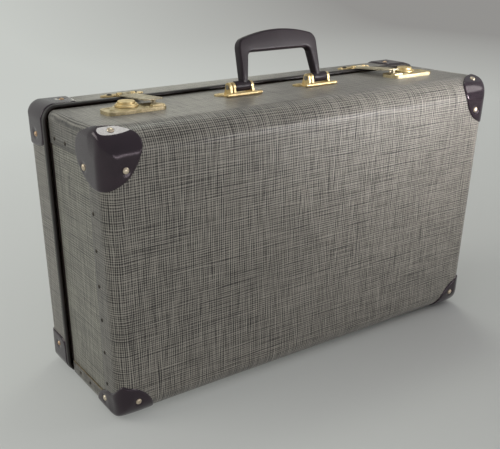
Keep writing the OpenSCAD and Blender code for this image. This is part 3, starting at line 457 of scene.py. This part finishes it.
def frameLoop(halfX, halfZ, r, endStops, topStops):
    # points round a rounded rectangle, counter-clockwise seen from the front: right side up, top to the
    # left, left side down, bottom to the right; stops run from -1 to 1 along each straight side
    arc = np.linspace(0, np.pi / 2, panCorner["steps"] + 2)[1:-1]
    sx, sz = halfX - r, halfZ - r
    up, left = endStops * sz, topStops[::-1] * sx
    one = np.ones
    parts = [
        np.stack([halfX * one(len(up)), up], -1),
        np.stack([sx + r * np.cos(arc), sz + r * np.sin(arc)], -1),
        np.stack([left, halfZ * one(len(left))], -1),
        np.stack([-sx - r * np.sin(arc), sz + r * np.cos(arc)], -1),
        np.stack([-halfX * one(len(up)), -up], -1),
        np.stack([-sx - r * np.cos(arc), -sz - r * np.sin(arc)], -1),
        np.stack([-left, -halfZ * one(len(left))], -1),
        np.stack([sx + r * np.sin(arc), -sz - r * np.cos(arc)], -1),
    ]
    kinds = np.concatenate([np.full(len(p), k) for k, p in enumerate(parts)])
    return np.concatenate(parts), kinds


def panSurface(halfX, halfZ, faceR, topR, sideR, endStops, topStops, depthStops, bendSteps):
    # open pan made of rings at one depth each: a quarter bend of topR carries the face into the top and
    # bottom walls, one of faceR into the ends; the corner radius grows from almost nothing to sideR
    bend = np.linspace(0, np.pi / 2, bendSteps + 1)
    deep = np.concatenate([topR * (1 - np.cos(bend)), depthStops])
    insetZ = topR - np.sqrt(np.maximum(topR ** 2 - np.maximum(topR - deep, 0) ** 2, 0))
    insetX = faceR - np.sqrt(np.maximum(faceR ** 2 - np.maximum(faceR - deep, 0) ** 2, 0))
    runZ = topR * np.arccos(np.maximum(1 - deep / topR, 0)) + np.maximum(deep - topR, 0)
    runX = faceR * np.arccos(np.maximum(1 - deep / faceR, 0)) + np.maximum(deep - faceR, 0)
    corner = np.maximum(sideR * (1 - panCorner["lost"] * insetZ / topR), panCorner["least"])
    rings, charts = [], []
    for ix, iz, d, sx, sz, r in zip(insetX, insetZ, deep, runX, runZ, corner):
        loop, kind = frameLoop(halfX - ix, halfZ - iz, r, endStops, topStops)
        rings.append(np.stack([loop[:, 0], np.full(len(loop), d), loop[:, 1]], -1))
        uvEnd = np.stack([np.sign(loop[:, 0]) * (halfX - faceR + sx), loop[:, 1]], -1)
        uvTop = np.stack([loop[:, 0], np.sign(loop[:, 1]) * (halfZ - topR + sz)], -1)
        charts.append((uvEnd, uvTop))
    return np.array(rings), charts, kind


# covering of the tray: front face, bends and walls, cut away behind the flanges of both ends
trayLook = dict(frontFlange=42.0, topFlange=38.0, bottomFlange=22.0, flangeThick=1.5, bendSteps=14,
                endCount=25, topCount=41, flangeCount=4, wallCount=9)


def unitStops(half, r, keys, count):
    # stops from -1 to 1 on a straight side, with the given places among them
    stops = np.unique(np.concatenate([np.linspace(-1, 1, count), np.asarray(keys) / (half - r)]))
    return stops[np.abs(stops) <= 1.0]


def chartUV(charts, kind, face):
    # uv of every face corner in metres, taken from the end's chart where the face lies on an end
    uvEnd = np.concatenate([c[0] for c in charts])
    uvTop = np.concatenate([c[1] for c in charts])
    cols = len(kind)
    isEnd = np.isin(kind[face[:, 0] % cols], (0, 4)) & np.isin(kind[face[:, 1] % cols], (0, 4))
    return np.where(isEnd[:, None, None], uvEnd[face], uvTop[face]) * mm, isEnd


def buildTray():
    # a pan set with its face to the front, less the quads of both ends that lie inside the flanges
    look = trayLook
    halfX, halfZ, depth = case["width"] / 2, case["height"] / 2, case["trayDepth"]
    r, sr = case["topR"], case["sideR"]
    zCutLow = look["bottomFlange"] - halfZ
    zCutHigh = halfZ - look["topFlange"]
    endStops = unitStops(halfZ, sr, [zCutLow, zCutHigh], look["endCount"])
    topStops = np.linspace(-1, 1, look["topCount"])
    depthStops = np.concatenate([np.linspace(r, look["frontFlange"], look["flangeCount"])[1:],
                                 np.linspace(look["frontFlange"], depth, look["wallCount"])[1:]])
    rings, charts, kind = panSurface(halfX, halfZ, case["faceR"], r, sr, endStops, topStops, depthStops,
                                     look["bendSteps"])
    rows, cols = rings.shape[:2]
    quads = gridQuads(rows, cols, wrapCols=True)
    points = rings.reshape(-1, 3)
    uv, isEnd = chartUV(charts, kind, quads)
    mid = points[quads].mean(1)
    cut = isEnd & (mid[:, 1] > look["frontFlange"]) & (mid[:, 2] > zCutLow) & (mid[:, 2] < zCutHigh)
    quads, uv = quads[~cut], uv[~cut]
    # the flat front is one face on the first ring
    faces = quads[:, ::-1].tolist() + [list(range(cols))]
    allUV = np.concatenate([uv[:, ::-1].reshape(-1, 2), points[:cols, [0, 2]] * mm])
    placed = points + [0, yFront, zLow + halfZ]
    obj = makePiece("trayCovering", placed, faces, [frontCloth, rawFibre], allUV)
    thicken(obj, look["flangeThick"], rim=1)
    place(obj, "tray", "covering", "tray_wrap")


buildTray()
print("tray covering made")


# lining of the tray: a thinner pan inside the covering, up to the valance
liningLook = dict(side=4.6, face=2.25, depth=113.7, thick=1.0, bendSteps=12, endCount=13, topCount=21,
                  wallCount=5)


def buildLining():
    # a pan with the tray's sizes taken in by the thickness around it
    look = liningLook
    halfX, halfZ = case["width"] / 2 - look["side"], case["height"] / 2 - look["face"]
    radii = [case[key] - look["face"] for key in ("faceR", "topR", "sideR")]
    endStops, topStops = (np.linspace(-1, 1, look[key]) for key in ("endCount", "topCount"))
    depthStops = np.linspace(radii[1], look["depth"], look["wallCount"])[1:]
    rings = panSurface(halfX, halfZ, *radii, endStops, topStops, depthStops, look["bendSteps"])[0]
    rows, cols = rings.shape[:2]
    points = rings.reshape(-1, 3) + [0, yFront + look["face"], zLow + case["height"] / 2]
    faces = gridQuads(rows, cols, wrapCols=True)[:, ::-1].tolist() + [list(range(cols))]
    obj = makePiece("trayLining", points, faces, [liningCloth])
    thicken(obj, look["thick"])
    place(obj, "tray", "lining", "tray_lining")


buildLining()
print("tray lining made")


# covering of the lid: the same pan turned to the back, from the back face to the binding
lidLook = dict(sheet=2.4, bendSteps=12, bindingCover=1.0, endCount=21, topCount=41, wallCount=6,
               threadShift=1.7)


def buildLid():
    # a pan with one radius for all its bends, its depth counted from the back face
    look = lidLook
    halfX, halfZ = lidWidth / 2, lidHeight / 2
    r, sr = case["lidFaceR"], case["lidSideR"]
    endStops, topStops = (np.linspace(-1, 1, look[key]) for key in ("endCount", "topCount"))
    depthStops = np.linspace(r, case["lidDepth"] - look["bindingCover"], look["wallCount"])[1:]
    rings, charts, kind = panSurface(halfX, halfZ, r, r, sr, endStops, topStops, depthStops,
                                     look["bendSteps"])
    rows, cols = rings.shape[:2]
    quads = gridQuads(rows, cols, wrapCols=True)
    points = rings.reshape(-1, 3)
    uv = chartUV(charts, kind, quads)[0]
    back = list(range(cols))[::-1]
    allUV = np.concatenate([uv.reshape(-1, 2), points[back][:, [0, 2]] * mm]) + look["threadShift"]
    placed = np.stack([points[:, 0], yBack - points[:, 1], points[:, 2] + zLow + halfZ], -1)
    obj = makePiece("lidCovering", placed, quads.tolist() + [back], [lidCloth, rawFibre], allUV)
    thicken(obj, look["sheet"], rim=1)
    place(obj, "lid", "covering", "lid_shell")


buildLid()
print("lid covering made")


# moulded corner caps, in mm; tip and under are shares of the outline, nearest and farthest of a ray
capForm = dict(thick=2.2, lip=2.2, sink=0.3, edgeDrop=0.35, rings=46, lipRings=7, around=176, blend=9.0,
               dishR=7.5, dishDeep=1.0, dishEase=1.15, nearFace=2.0, tip=0.03, under=(0.7, 0.4, 0.03),
               eye=60.0, nearest=0.3, farthest=1.6, halvings=40, probe=0.05)
# outline of a cap on the sharp corner of the case, in mm inwards from the end, the face and the top
topOutline = [(4, 4, 65), (14, 0, 61.5), (28, 0, 54.5), (39, 0, 42), (46, 0, 28.5), (49, 0, 16), (46.5, 2, 4),
              (42, 8, 0), (36, 15.5, 0), (28, 23, 0), (18, 28.5, 0), (8, 32, 0), (2, 38, 1.5), (0, 47, 5.5),
              (0, 57, 11.5), (0, 65, 20), (0, 68, 31), (0, 65.5, 42), (0, 56, 52), (0, 43, 61), (0, 26, 66)]
lowOutline = [(5, 5, 50), (13, 0, 48), (25, 0, 43), (37, 0, 33), (44.5, 0, 19), (48, 5, 5), (48, 24, 0),
              (46, 42, 0), (38, 57, 0), (26, 64.5, 0), (12, 66, 0), (2, 66, 3), (0, 63, 14), (0, 53, 23.5),
              (0, 39, 30.5), (0, 21, 35.5)]
lidOutline = [(6, 5, 51), (16, 0, 50.5), (30, 0, 47), (43, 0, 39), (49, 0, 26), (51, 4, 6), (50.5, 17, 0),
              (50, 34, 0), (47, 46.5, 0), (38, 50.6, 0), (22, 50.7, 0), (6, 50.7, 6), (0, 50.7, 22),
              (0, 50.6, 38), (0, 46.5, 47), (0, 32, 50.5), (0, 17, 51)]


def bend(p, q, r):
    # distance outside a rounded corner of radius r, p and q counted inwards from its two faces
    u, v = r - p, r - q
    return np.hypot(np.maximum(u, 0), np.maximum(v, 0)) + np.minimum(np.maximum(u, v), 0) - r


def softMax(x, y, k):
    # the larger of two heights, rounded over where they are closer than about k
    return 0.5 * (x + y + np.sqrt((x - y) ** 2 + k ** 2))


def cornerHeight(p, faceR, topR, sideR):
    # height above the case near a corner: the largest of the three bends, run together where all meet
    a, b, c = p[..., 0], p[..., 1], p[..., 2]
    left = np.maximum(topR - p, 0) / topR
    k = capForm["blend"] * left[..., 0] * left[..., 1] * left[..., 2]
    return softMax(softMax(bend(a, b, faceR), bend(c, b, topR), k), bend(a, c, sideR), k)


def closedCurve(points, count):
    # closed cubic through the points, evenly sampled: each stretch joins slopes taken from its neighbours
    p = np.asarray(points, float)
    u = np.arange(count) / count * len(p)
    i = u.astype(int) % len(p)
    t = (u - np.floor(u))[:, None]
    before, here, after, next2 = (p[(i + k) % len(p)] for k in (-1, 0, 1, 2))
    return 0.5 * (2 * here + (after - before) * t + (2 * before - 5 * here + 4 * after - next2) * t ** 2
                  + (3 * here - before - 3 * after + next2) * t ** 3)


def standOn(target, height, radii):
    # point on the line from the eye inside the case through each target that stands at its height
    eye = np.full(3, capForm["eye"])
    ray = target - eye
    low, high = (np.full(height.shape, capForm[key]) for key in ("nearest", "farthest"))
    for _ in range(capForm["halvings"]):
        mid = (low + high) / 2
        out = cornerHeight(eye + mid[..., None] * ray, *radii) > height
        low, high = np.where(out, low, mid), np.where(out, mid, high)
    return eye + mid[..., None] * ray


def rivetFoot(centre, axis, radii):
    # place of a rivet on the floor of its dish or on its flat seat
    seat = np.array(capForm["thick"] - capForm["dishDeep"])
    return standOn(np.insert(np.asarray(centre, float), axis, 0.0), seat, radii)


def slopeAt(point, radii):
    # outward direction at a point of a corner: the slope of the height above the case
    step = capForm["probe"] * np.eye(3)
    rise = cornerHeight(point + step, *radii) - cornerHeight(point - step, *radii)
    return rise / np.linalg.norm(rise)


def capSurface(outline, rivets, *radii):
    # the outline shrunk towards the corner gives rings; each point is carried along the line from a point
    # inside the case until it stands at the height asked for: on the lobes the thickness less a drop that
    # grows with the fourth power of the way out, a quarter round at the lip, lowered in a round dish about a
    # rivet or cut off by a flat seat across it, then back underneath
    look = capForm
    eye = np.full(3, look["eye"])
    edge = closedCurve(outline, look["around"])
    lipShare = look["lip"] / np.linalg.norm(edge, axis=1).mean()
    inner = np.linspace(look["tip"], 1 - lipShare, look["rings"])
    turn = np.linspace(0, np.pi / 2, look["lipRings"] + 1)[1:]
    s = np.concatenate([inner, 1 - lipShare * (1 - np.sin(turn)), look["under"]])
    fall = np.concatenate([np.ones(len(inner)), np.cos(turn), np.zeros(len(look["under"]))])
    top = look["thick"] - look["edgeDrop"] * s ** 4
    height = (fall * (top + look["sink"]) - look["sink"])[:, None] * np.ones(len(edge))
    target = s[:, None, None] * edge
    for centre, axis, seat in rivets:
        if seat == "dish":
            flat = np.delete(target, axis, -1) - np.asarray(centre, float)
            away = np.linalg.norm(flat, axis=-1) / look["dishR"]
            near = (target[..., axis] < look["nearFace"]) & (fall > 0.5)[:, None]
            dip = look["dishDeep"] * np.clip(1 - away ** 2, 0, 1) ** look["dishEase"]
            height = height - np.where(near, dip, 0)
    grid = standOn(target, height, radii)
    for centre, axis, seat in rivets:
        if seat == "flat":
            foot = rivetFoot(centre, axis, radii)
            square = slopeAt(foot, radii)
            reach = np.dot(foot - eye, square) / np.dot(grid - eye, square)
            reach = np.where(reach > 0, np.minimum(reach, 1), 1)
            grid = eye + reach[..., None] * (grid - eye)
    return grid


def outward(points, quads, ends, start=0):
    # faces of a closed form, turned round where its signed volume, the sum of the triple products of its
    # triangles, comes out negative; points count from start
    tris = np.concatenate([quads[:, [0, 1, 2]], quads[:, [0, 2, 3]]])
    p = points[tris]
    volume = np.einsum("ij,ij->i", p[:, 0], np.cross(p[:, 1], p[:, 2])).sum()
    way = -1 if volume < 0 else 1
    return (quads[:, ::way] + start).tolist() + (ends[:, ::way] + start).tolist()


def buildCap(name, outline, rivets, sideX, sideY, sideZ, node):
    # cap surface in inward distances, mirrored into the corner that the three sides name
    lid = sideY > 0
    radii = ("lidFaceR", "lidFaceR", "lidSideR") if lid else ("faceR", "topR", "sideR")
    grid = capSurface(outline, rivets, *(case[key] for key in radii))
    rows, cols = grid.shape[:2]
    corner = np.array([(lidWidth if lid else case["width"]) / 2 * sideX, yBack if lid else yFront,
                       (zLidTop if lid else zTop) if sideZ > 0 else zLow])
    points = corner - grid.reshape(-1, 3) * [sideX, sideY, sideZ]
    faces = outward(points - points.mean(0), gridQuads(rows, cols, wrapCols=True), endRings(rows, cols))
    place(makePiece(name, points, faces, [capFibre]), "lid" if lid else "tray", "cap_fibre", node)


# rivets of each kind of cap: centre on the face left when the named axis is dropped, the axis and the seat
topRivets = [((26.5, 43.5), 1, "dish"), ((17.7, 14.8), 2, "flat"), ((48.5, 46.5), 0, "dish")]
lowRivets = [((25, 27), 1, "dish"), ((25, 43), 2, "dish"), ((43, 18.5), 0, "dish")]
lidRivets = [((28, 28), 1, "dish"), ((36.05, 28.35), 2, "dish"), ((28.35, 36.05), 0, "dish")]
for sideName, sideX in (("Left", -1), ("Right", 1)):
    low = sideName.lower()
    buildCap("capTop" + sideName, topOutline, topRivets, sideX, -1, 1, "cap_top_" + low)
    buildCap("capBottom" + sideName, lowOutline, lowRivets, sideX, -1, -1, "cap_bottom_" + low)
    buildCap("lidCapTop" + sideName, lidOutline, lidRivets, sideX, 1, 1, "lid_cap_top_" + low)
    buildCap("lidCapBottom" + sideName, lidOutline, lidRivets, sideX, 1, -1, "lid_cap_bottom_" + low)
print("corner caps made")


# domed rivets of the tray's caps, which stand square on the caps, also on the bend of the top lobe; in mm,
# with tip in radians
rivetLook = dict(r=4.0, dome=2.1, lowDome=0.8, sink=0.8, rings=9, around=28, tip=0.04)


def domeGrid(foot, axis, dome):
    # half ellipse turned about the axis, with a short shank below it
    look = rivetLook
    turn = np.linspace(look["tip"], np.pi / 2, look["rings"])
    out = np.append(look["r"] * np.sin(turn), look["r"])
    up = np.append(dome * np.cos(turn), -look["sink"])
    side = np.cross(axis, np.eye(3)[np.argmin(np.abs(axis))])
    side = side / np.linalg.norm(side)
    turn = np.arange(look["around"]) * 2 * np.pi / look["around"]
    spoke = np.cos(turn)[:, None] * side + np.sin(turn)[:, None] * np.cross(axis, side)
    return foot + out[:, None, None] * spoke + up[:, None, None] * axis


def buildCapRivets():
    # a dome along the cap's slope at each foot, lower on the underside, where the case stands
    radii = [case[key] for key in ("faceR", "topR", "sideR")]
    points, faces = [], []
    for sideX in (-1, 1):
        for sideZ, rivets in ((1, topRivets), (-1, lowRivets)):
            corner = np.array([case["width"] / 2 * sideX, yFront, zTop if sideZ > 0 else zLow])
            for centre, axis, _ in rivets:
                foot = rivetFoot(centre, axis, radii)
                dome = rivetLook["lowDome" if sideZ < 0 and axis == 2 else "dome"]
                grid = corner - domeGrid(foot, slopeAt(foot, radii), dome) * [sideX, -1, sideZ]
                rows, cols = grid.shape[:2]
                start = len(points) * rows * cols
                solid = grid.reshape(-1, 3)
                quads = gridQuads(rows, cols, wrapCols=True)
                faces += outward(solid - solid.mean(0), quads, endRings(rows, cols), start)
                points.append(solid)
    obj = makePiece("trayCapRivets", np.concatenate(points), faces, [brass["rivetBrass"]])
    place(obj, "tray", "brass", "tray_cap_rivets")


buildCapRivets()
print("cap rivets made")


# carry handle in mm, with lean in degrees
grip = dict(legIn=51.0, legInFoot=56.5, legOut=63.9, legOutFoot=65.4, innerR=7.0, innerTop=40.0, bendR=13.5,
            archR=205.0, rise=66.0, depth=13.0, footDepth=11.4, edge=3.2, footAt=2.4, lean=15.0,
            pivotY=yFront + 96, pivotZ=zTop + 11.2, barrelX=64.5, barrelR=6.6, barrelL=24.0, boreR=2.06,
            barrelEdge=1.2, stations=22, edgeSteps=7, footRise=14.0, easeSteps=5, barrelSteps=40)


def handleCurves(steps):
    # inner and outer edge of the handle's left half, from the foot of the leg to the middle of the grip:
    # leg, bend and arch have the same share of the steps on both, so that stations face each other
    g = grip
    t = np.linspace(0, 1, steps)[:, None]
    bendX = g["bendR"] - g["legOut"]
    archZ = g["rise"] - g["archR"]
    bendZ = archZ + math.sqrt((g["archR"] - g["bendR"]) ** 2 - bendX ** 2)
    lean = math.atan2(-bendX, bendZ - archZ)
    quarter = np.pi - t * np.pi / 2
    outerTurn = np.pi - t * (np.pi / 2 - lean)
    archTurn = np.pi / 2 + lean * (1 - t)
    inX, inZ = g["legIn"] - g["innerR"], g["innerTop"] - g["innerR"]

    def leg(foot, knee, top):
        return np.hstack([-foot + t * (foot - knee), g["footAt"] + t * (top - g["footAt"])])

    def arc(x, z, r, turn):
        return np.hstack([x + r * np.cos(turn), z + r * np.sin(turn)])

    def whole(parts):
        half = np.concatenate([part[:-1] for part in parts[:2]] + [parts[2]])
        return np.concatenate([half, half[-2::-1] * np.array([-1, 1])])

    inner = [leg(g["legInFoot"], g["legIn"], inZ), arc(-inX, inZ, g["innerR"], quarter),
             np.hstack([-inX * (1 - t), g["innerTop"] + 0 * t])]
    outer = [leg(g["legOutFoot"], g["legOut"], bendZ), arc(bendX, bendZ, g["bendR"], outerTurn),
             arc(0.0, archZ, g["archR"], archTurn)]
    return whole(inner), whole(outer)


def roundSection(width, depth, edge, steps):
    # rounded rectangle for every station: unit directions times the half sizes less the edge, plus the edge
    turn = np.concatenate([np.linspace(q, q + np.pi / 2, steps) for q in np.arange(4) * np.pi / 2])
    mid = np.repeat((np.arange(4) + 0.5) * np.pi / 2, steps)
    x = np.sign(np.cos(mid)) * (width[:, None] / 2 - edge) + edge * np.cos(turn)
    y = np.sign(np.sin(mid)) * (depth[:, None] / 2 - edge) + edge * np.sin(turn)
    return x, y


def leanBack(points):
    # from the handle's own plane, with depth as the third column, to its place on the case
    g = grip
    a = math.radians(g["lean"])
    x, up, deep = points[..., 0], points[..., 1], points[..., 2]
    return np.stack([x, g["pivotY"] + up * math.sin(a) + deep * math.cos(a),
                     g["pivotZ"] + up * math.cos(a) - deep * math.sin(a)], -1)


def buildHandle():
    # rounded rectangle carried along the middle between both edges, as wide as they are apart and growing
    # deeper above the feet by a quarter sine
    g = grip
    inner, outer = handleCurves(g["stations"])
    across = outer - inner
    width = np.linalg.norm(across, axis=1)
    rise = np.clip((inner[:, 1] - g["footAt"]) / g["footRise"], 0, 1)
    depth = g["footDepth"] + (g["depth"] - g["footDepth"]) * np.sin(rise * np.pi / 2)
    secX, secY = roundSection(width, depth, g["edge"], g["edgeSteps"])
    middle = (inner + outer) / 2
    plane = middle[:, None] + secX[..., None] * (across / width[:, None])[:, None]
    grid = leanBack(np.concatenate([plane, secY[..., None]], -1))
    rows, cols = grid.shape[:2]
    points = [grid.reshape(-1, 3)]
    quads = gridQuads(rows, cols, wrapCols=True)
    faces = outward(points[0] - points[0].mean(0), quads, endRings(rows, cols))
    # barrels round the pins: a ring profile with eased edges turned about the pin's line
    half, ease = g["barrelL"] / 2, g["barrelEdge"]
    quarter = np.linspace(0, np.pi / 2, g["easeSteps"])
    outR = g["barrelR"] - ease + ease * np.concatenate([np.sin(quarter), np.cos(quarter)])
    along = np.concatenate([-half + ease - ease * np.cos(quarter), half - ease + ease * np.sin(quarter)])
    profile = np.concatenate([np.stack([along, outR], -1), [[half, g["boreR"]], [-half, g["boreR"]]]])
    turn = np.linspace(0, 2 * np.pi, g["barrelSteps"] + 1)[:-1]
    at, r = profile[:, None, 0], profile[:, None, 1]
    for side in (-1, 1):
        ring = np.stack([side * g["barrelX"] + at + 0 * turn, r * np.cos(turn), r * np.sin(turn)], -1)
        start = sum(len(p) for p in points)
        solid = leanBack(ring).reshape(-1, 3)
        quads = gridQuads(len(profile), len(turn), wrapCols=True, wrapRows=True)
        faces += outward(solid - solid.mean(0), quads, quads[:0], start)
        points.append(solid)
    obj = makePiece("carryHandle", np.concatenate(points), faces, [handlePlastic])
    place(obj, "handle", "handle_plastic", "handle")


buildHandle()
print("handle made")


# finishes of the nodes that stay as they are
finishes = {
    endCloth: ["end_panel_left", "end_panel_right"],
    darkSteel: ["flange_rivets", "keeper_screws"],
    valanceCloth: ["tray_rim"],
    liningCloth: ["lid_lining"],
    edgeBinding: ["lid_rim"],
    brass["softBrass"]: ["bracket_left", "bracket_right", "bracket_rivets", "button_left", "button_right",
                         "keeper_left", "keeper_right"],
    brass["paleBrass"]: ["lock_plate_left", "lock_plate_right", "plate_rivets", "tray_hinge_leaves",
                         "lid_hinge_leaves", "tray_hinge_rivets", "lid_hinge_rivets"],
    brass["dullBrass"]: ["lid_cap_rivets"],
    brass["pebbledBrass"]: ["hasp_left", "hasp_right"],
    steel: ["handle_pins", "hinge_pins", "hasp_pins", "bolt_left", "bolt_right"],
}
for finish, names in finishes.items():
    for name in names:
        for slot in nodes[name].material_slots:
            slot.material = finish
print("finishes set on", sum(len(names) for names in finishes.values()), "nodes")


# floor that sweeps up behind the case, in metres
studio = dict(half=14.0, front=-9.0, rear=3.2, sweepR=2.6, top=9.0, below=0.0004,
              # far colours are a painted glow, standing in for the light on the backdrop at the left and at
              # the right
              colour=(0.70, 0.70, 0.685), paintedGlowLeft=(0.57, 0.59, 0.56), paintedGlowRight=(0.29, 0.285, 0.275),
              fadeFrom=0.45, fadeTo=1.9, fadeMid=(0.6, -0.35, 0.0), leftX=0.9, rightX=3.8,
              cloud=0.8, cloudDark=0.97, rough=0.6, spec=0.2, sweepSteps=33, columns=3)


def buildFloor():
    # flat strip, quarter circle and upright strip carried along x
    st = studio
    turn = np.linspace(0, np.pi / 2, st["sweepSteps"])
    y = np.concatenate([[st["front"]], st["rear"] + st["sweepR"] * np.sin(turn), [st["rear"] + st["sweepR"]]])
    z = np.concatenate([[0], st["sweepR"] * (1 - np.cos(turn)), [st["top"]]]) - st["below"]
    x = np.linspace(-st["half"], st["half"], st["columns"])
    grid = np.stack(np.broadcast_arrays(x[None], y[:, None], z[:, None]), -1)
    rows, cols = grid.shape[:2]
    obj = makePiece("studioFloor", grid.reshape(-1, 3) / mm, gridQuads(rows, cols).tolist(), [floorShader()])
    obj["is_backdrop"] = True


def floorShader():
    # matt paper with a very slight cloudiness; far from the case the eye and the reflections see a painted
    # glow in its place, a pale backdrop of painted light, brighter at the left and darker to the right
    st = studio
    s = Shader("floorPaper")
    at = s.coords("Object")
    cloud = s.grain(at, st["cloud"], detail=2.0, rough=0.5)
    darker = tuple(v * st["cloudDark"] for v in st["colour"])
    s.set(color=s.mix(cloud, darker, st["colour"]), rough=st["rough"], spec=st["spec"])
    away = s.add("VectorMath", operation="LENGTH")
    s.link(s.mapping(at, move=tuple(-v for v in st["fadeMid"])), away.inputs[0])
    far = s.grey(away.outputs["Value"], 0.0, 1.0, st["fadeFrom"], st["fadeTo"])
    toRight = s.grey(s.apart(at)["X"], 0.0, 1.0, st["leftX"], st["rightX"])
    # painted light: camera and glossy rays see this glow instead of the lit paper, paler at the left and
    # darker to the right
    glow = s.add("Emission")
    s.link(s.mix(toRight, st["paintedGlowLeft"], st["paintedGlowRight"]), glow.inputs["Color"])
    path = s.add("LightPath")
    seen = s.math("MAXIMUM", path.outputs["Is Camera Ray"], path.outputs["Is Glossy Ray"])
    blend = s.add("MixShader")
    s.link(s.times(seen, far), blend.inputs["Fac"])
    s.link(s.bsdf.outputs["BSDF"], blend.inputs[1])
    s.link(glow.outputs["Emission"], blend.inputs[2])
    s.link(blend.outputs["Shader"], s.tree.nodes["Material Output"].inputs["Surface"])
    return s.mat


buildFloor()
print("floor made")


# softboxes: places, aims and sizes in metres, spread in degrees
lamps = dict(
    overhead=dict(place=(0.63, 0.72, 2.2), aim=(0.20, 0.20, 0.3), size=(0.45, 0.55), watts=5.6, spread=180.0,
                  colour=(0.94, 1.0, 0.90)),
    front=dict(place=(0.80, -1.15, 0.45), aim=(0.30, -0.10, 0.49), size=(0.4, 0.4), watts=1.3, spread=32.0,
               colour=(1.0, 0.97, 0.97)),
    right=dict(place=(1.5, -0.85, 1.15), aim=(0.2, -0.1, 0.36), size=(0.6, 0.6), watts=3.0, spread=180.0,
               colour=(1.0, 0.98, 0.94)),
    left=dict(place=(-2.2, 0.9, 1.4), aim=(-0.2, 0.0, 0.2), size=(1.6, 1.4), watts=15.0, spread=180.0,
              colour=(1.0, 1.0, 0.92)),
    back=dict(place=(0.98, 1.95, 0.86), aim=(0.1, 0.0, 0.36), size=(0.80, 0.7), watts=1.7, spread=180.0,
              colour=(1.0, 0.99, 0.84)),
    low=dict(place=(0.30, -2.4, 0.26), aim=(-0.2, -0.1, 0.30), size=(1.5, 0.24), watts=3.4, spread=180.0,
             colour=(1.0, 0.96, 0.98)),
)


def addLamp(name, look):
    data = bpy.data.lights.new(name, "AREA")
    data.shape = "RECTANGLE"
    data.size, data.size_y = look["size"]
    data.energy = look["watts"]
    data.spread = math.radians(look["spread"])
    data.color = look["colour"]
    obj = bpy.data.objects.new(name, data)
    bpy.context.scene.collection.objects.link(obj)
    obj.location = look["place"]
    aim = Vector(look["aim"]) - Vector(look["place"])
    obj.rotation_euler = aim.to_track_quat("-Z", "Y").to_euler()


for lampName, look in lamps.items():
    addLamp(lampName + "Softbox", look)

# even light from all round
air = dict(colour=(0.97, 0.99, 1.0), strength=0.44)
world = bpy.data.worlds.new("studioAir")
world.use_nodes = True
glow = world.node_tree.nodes["Background"].inputs
glow["Color"].default_value = (*air["colour"], 1)
glow["Strength"].default_value = air["strength"]
bpy.context.scene.world = world
bpy.context.scene.view_settings.view_transform = "Standard"


# camera at the photograph's angle, angles in degrees and place in mm
shot = dict(place=(-627.5, -796.5, 534.6), azimuth=-33.37, elevation=25.61, roll=-0.42, lens=52.78,
            shift=(0.0706, 0.151), clipEnd=60.0)


def addCamera():
    # back runs from the case to the camera, right is level, and both frame sides are rolled about back
    a, e, r = (math.radians(shot[k]) for k in ("azimuth", "elevation", "roll"))
    back = np.array([math.sin(a) * math.cos(e), -math.cos(a) * math.cos(e), math.sin(e)])
    right = np.array([math.cos(a), math.sin(a), 0.0])
    up = np.cross(back, right)
    turned = math.cos(r) * right + math.sin(r) * up
    upright = -math.sin(r) * right + math.cos(r) * up
    data = bpy.data.cameras.new("photoCamera")
    data.lens = shot["lens"]
    data.shift_x, data.shift_y = shot["shift"]
    data.clip_end = shot["clipEnd"]
    obj = bpy.data.objects.new("photoCamera", data)
    bpy.context.scene.collection.objects.link(obj)
    pose = np.eye(4)
    pose[:3, 0], pose[:3, 1], pose[:3, 2], pose[:3, 3] = turned, upright, back, np.array(shot["place"]) * mm
    obj.matrix_world = Matrix(pose.tolist())
    bpy.context.scene.camera = obj


addCamera()
print("studio set")

low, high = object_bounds()
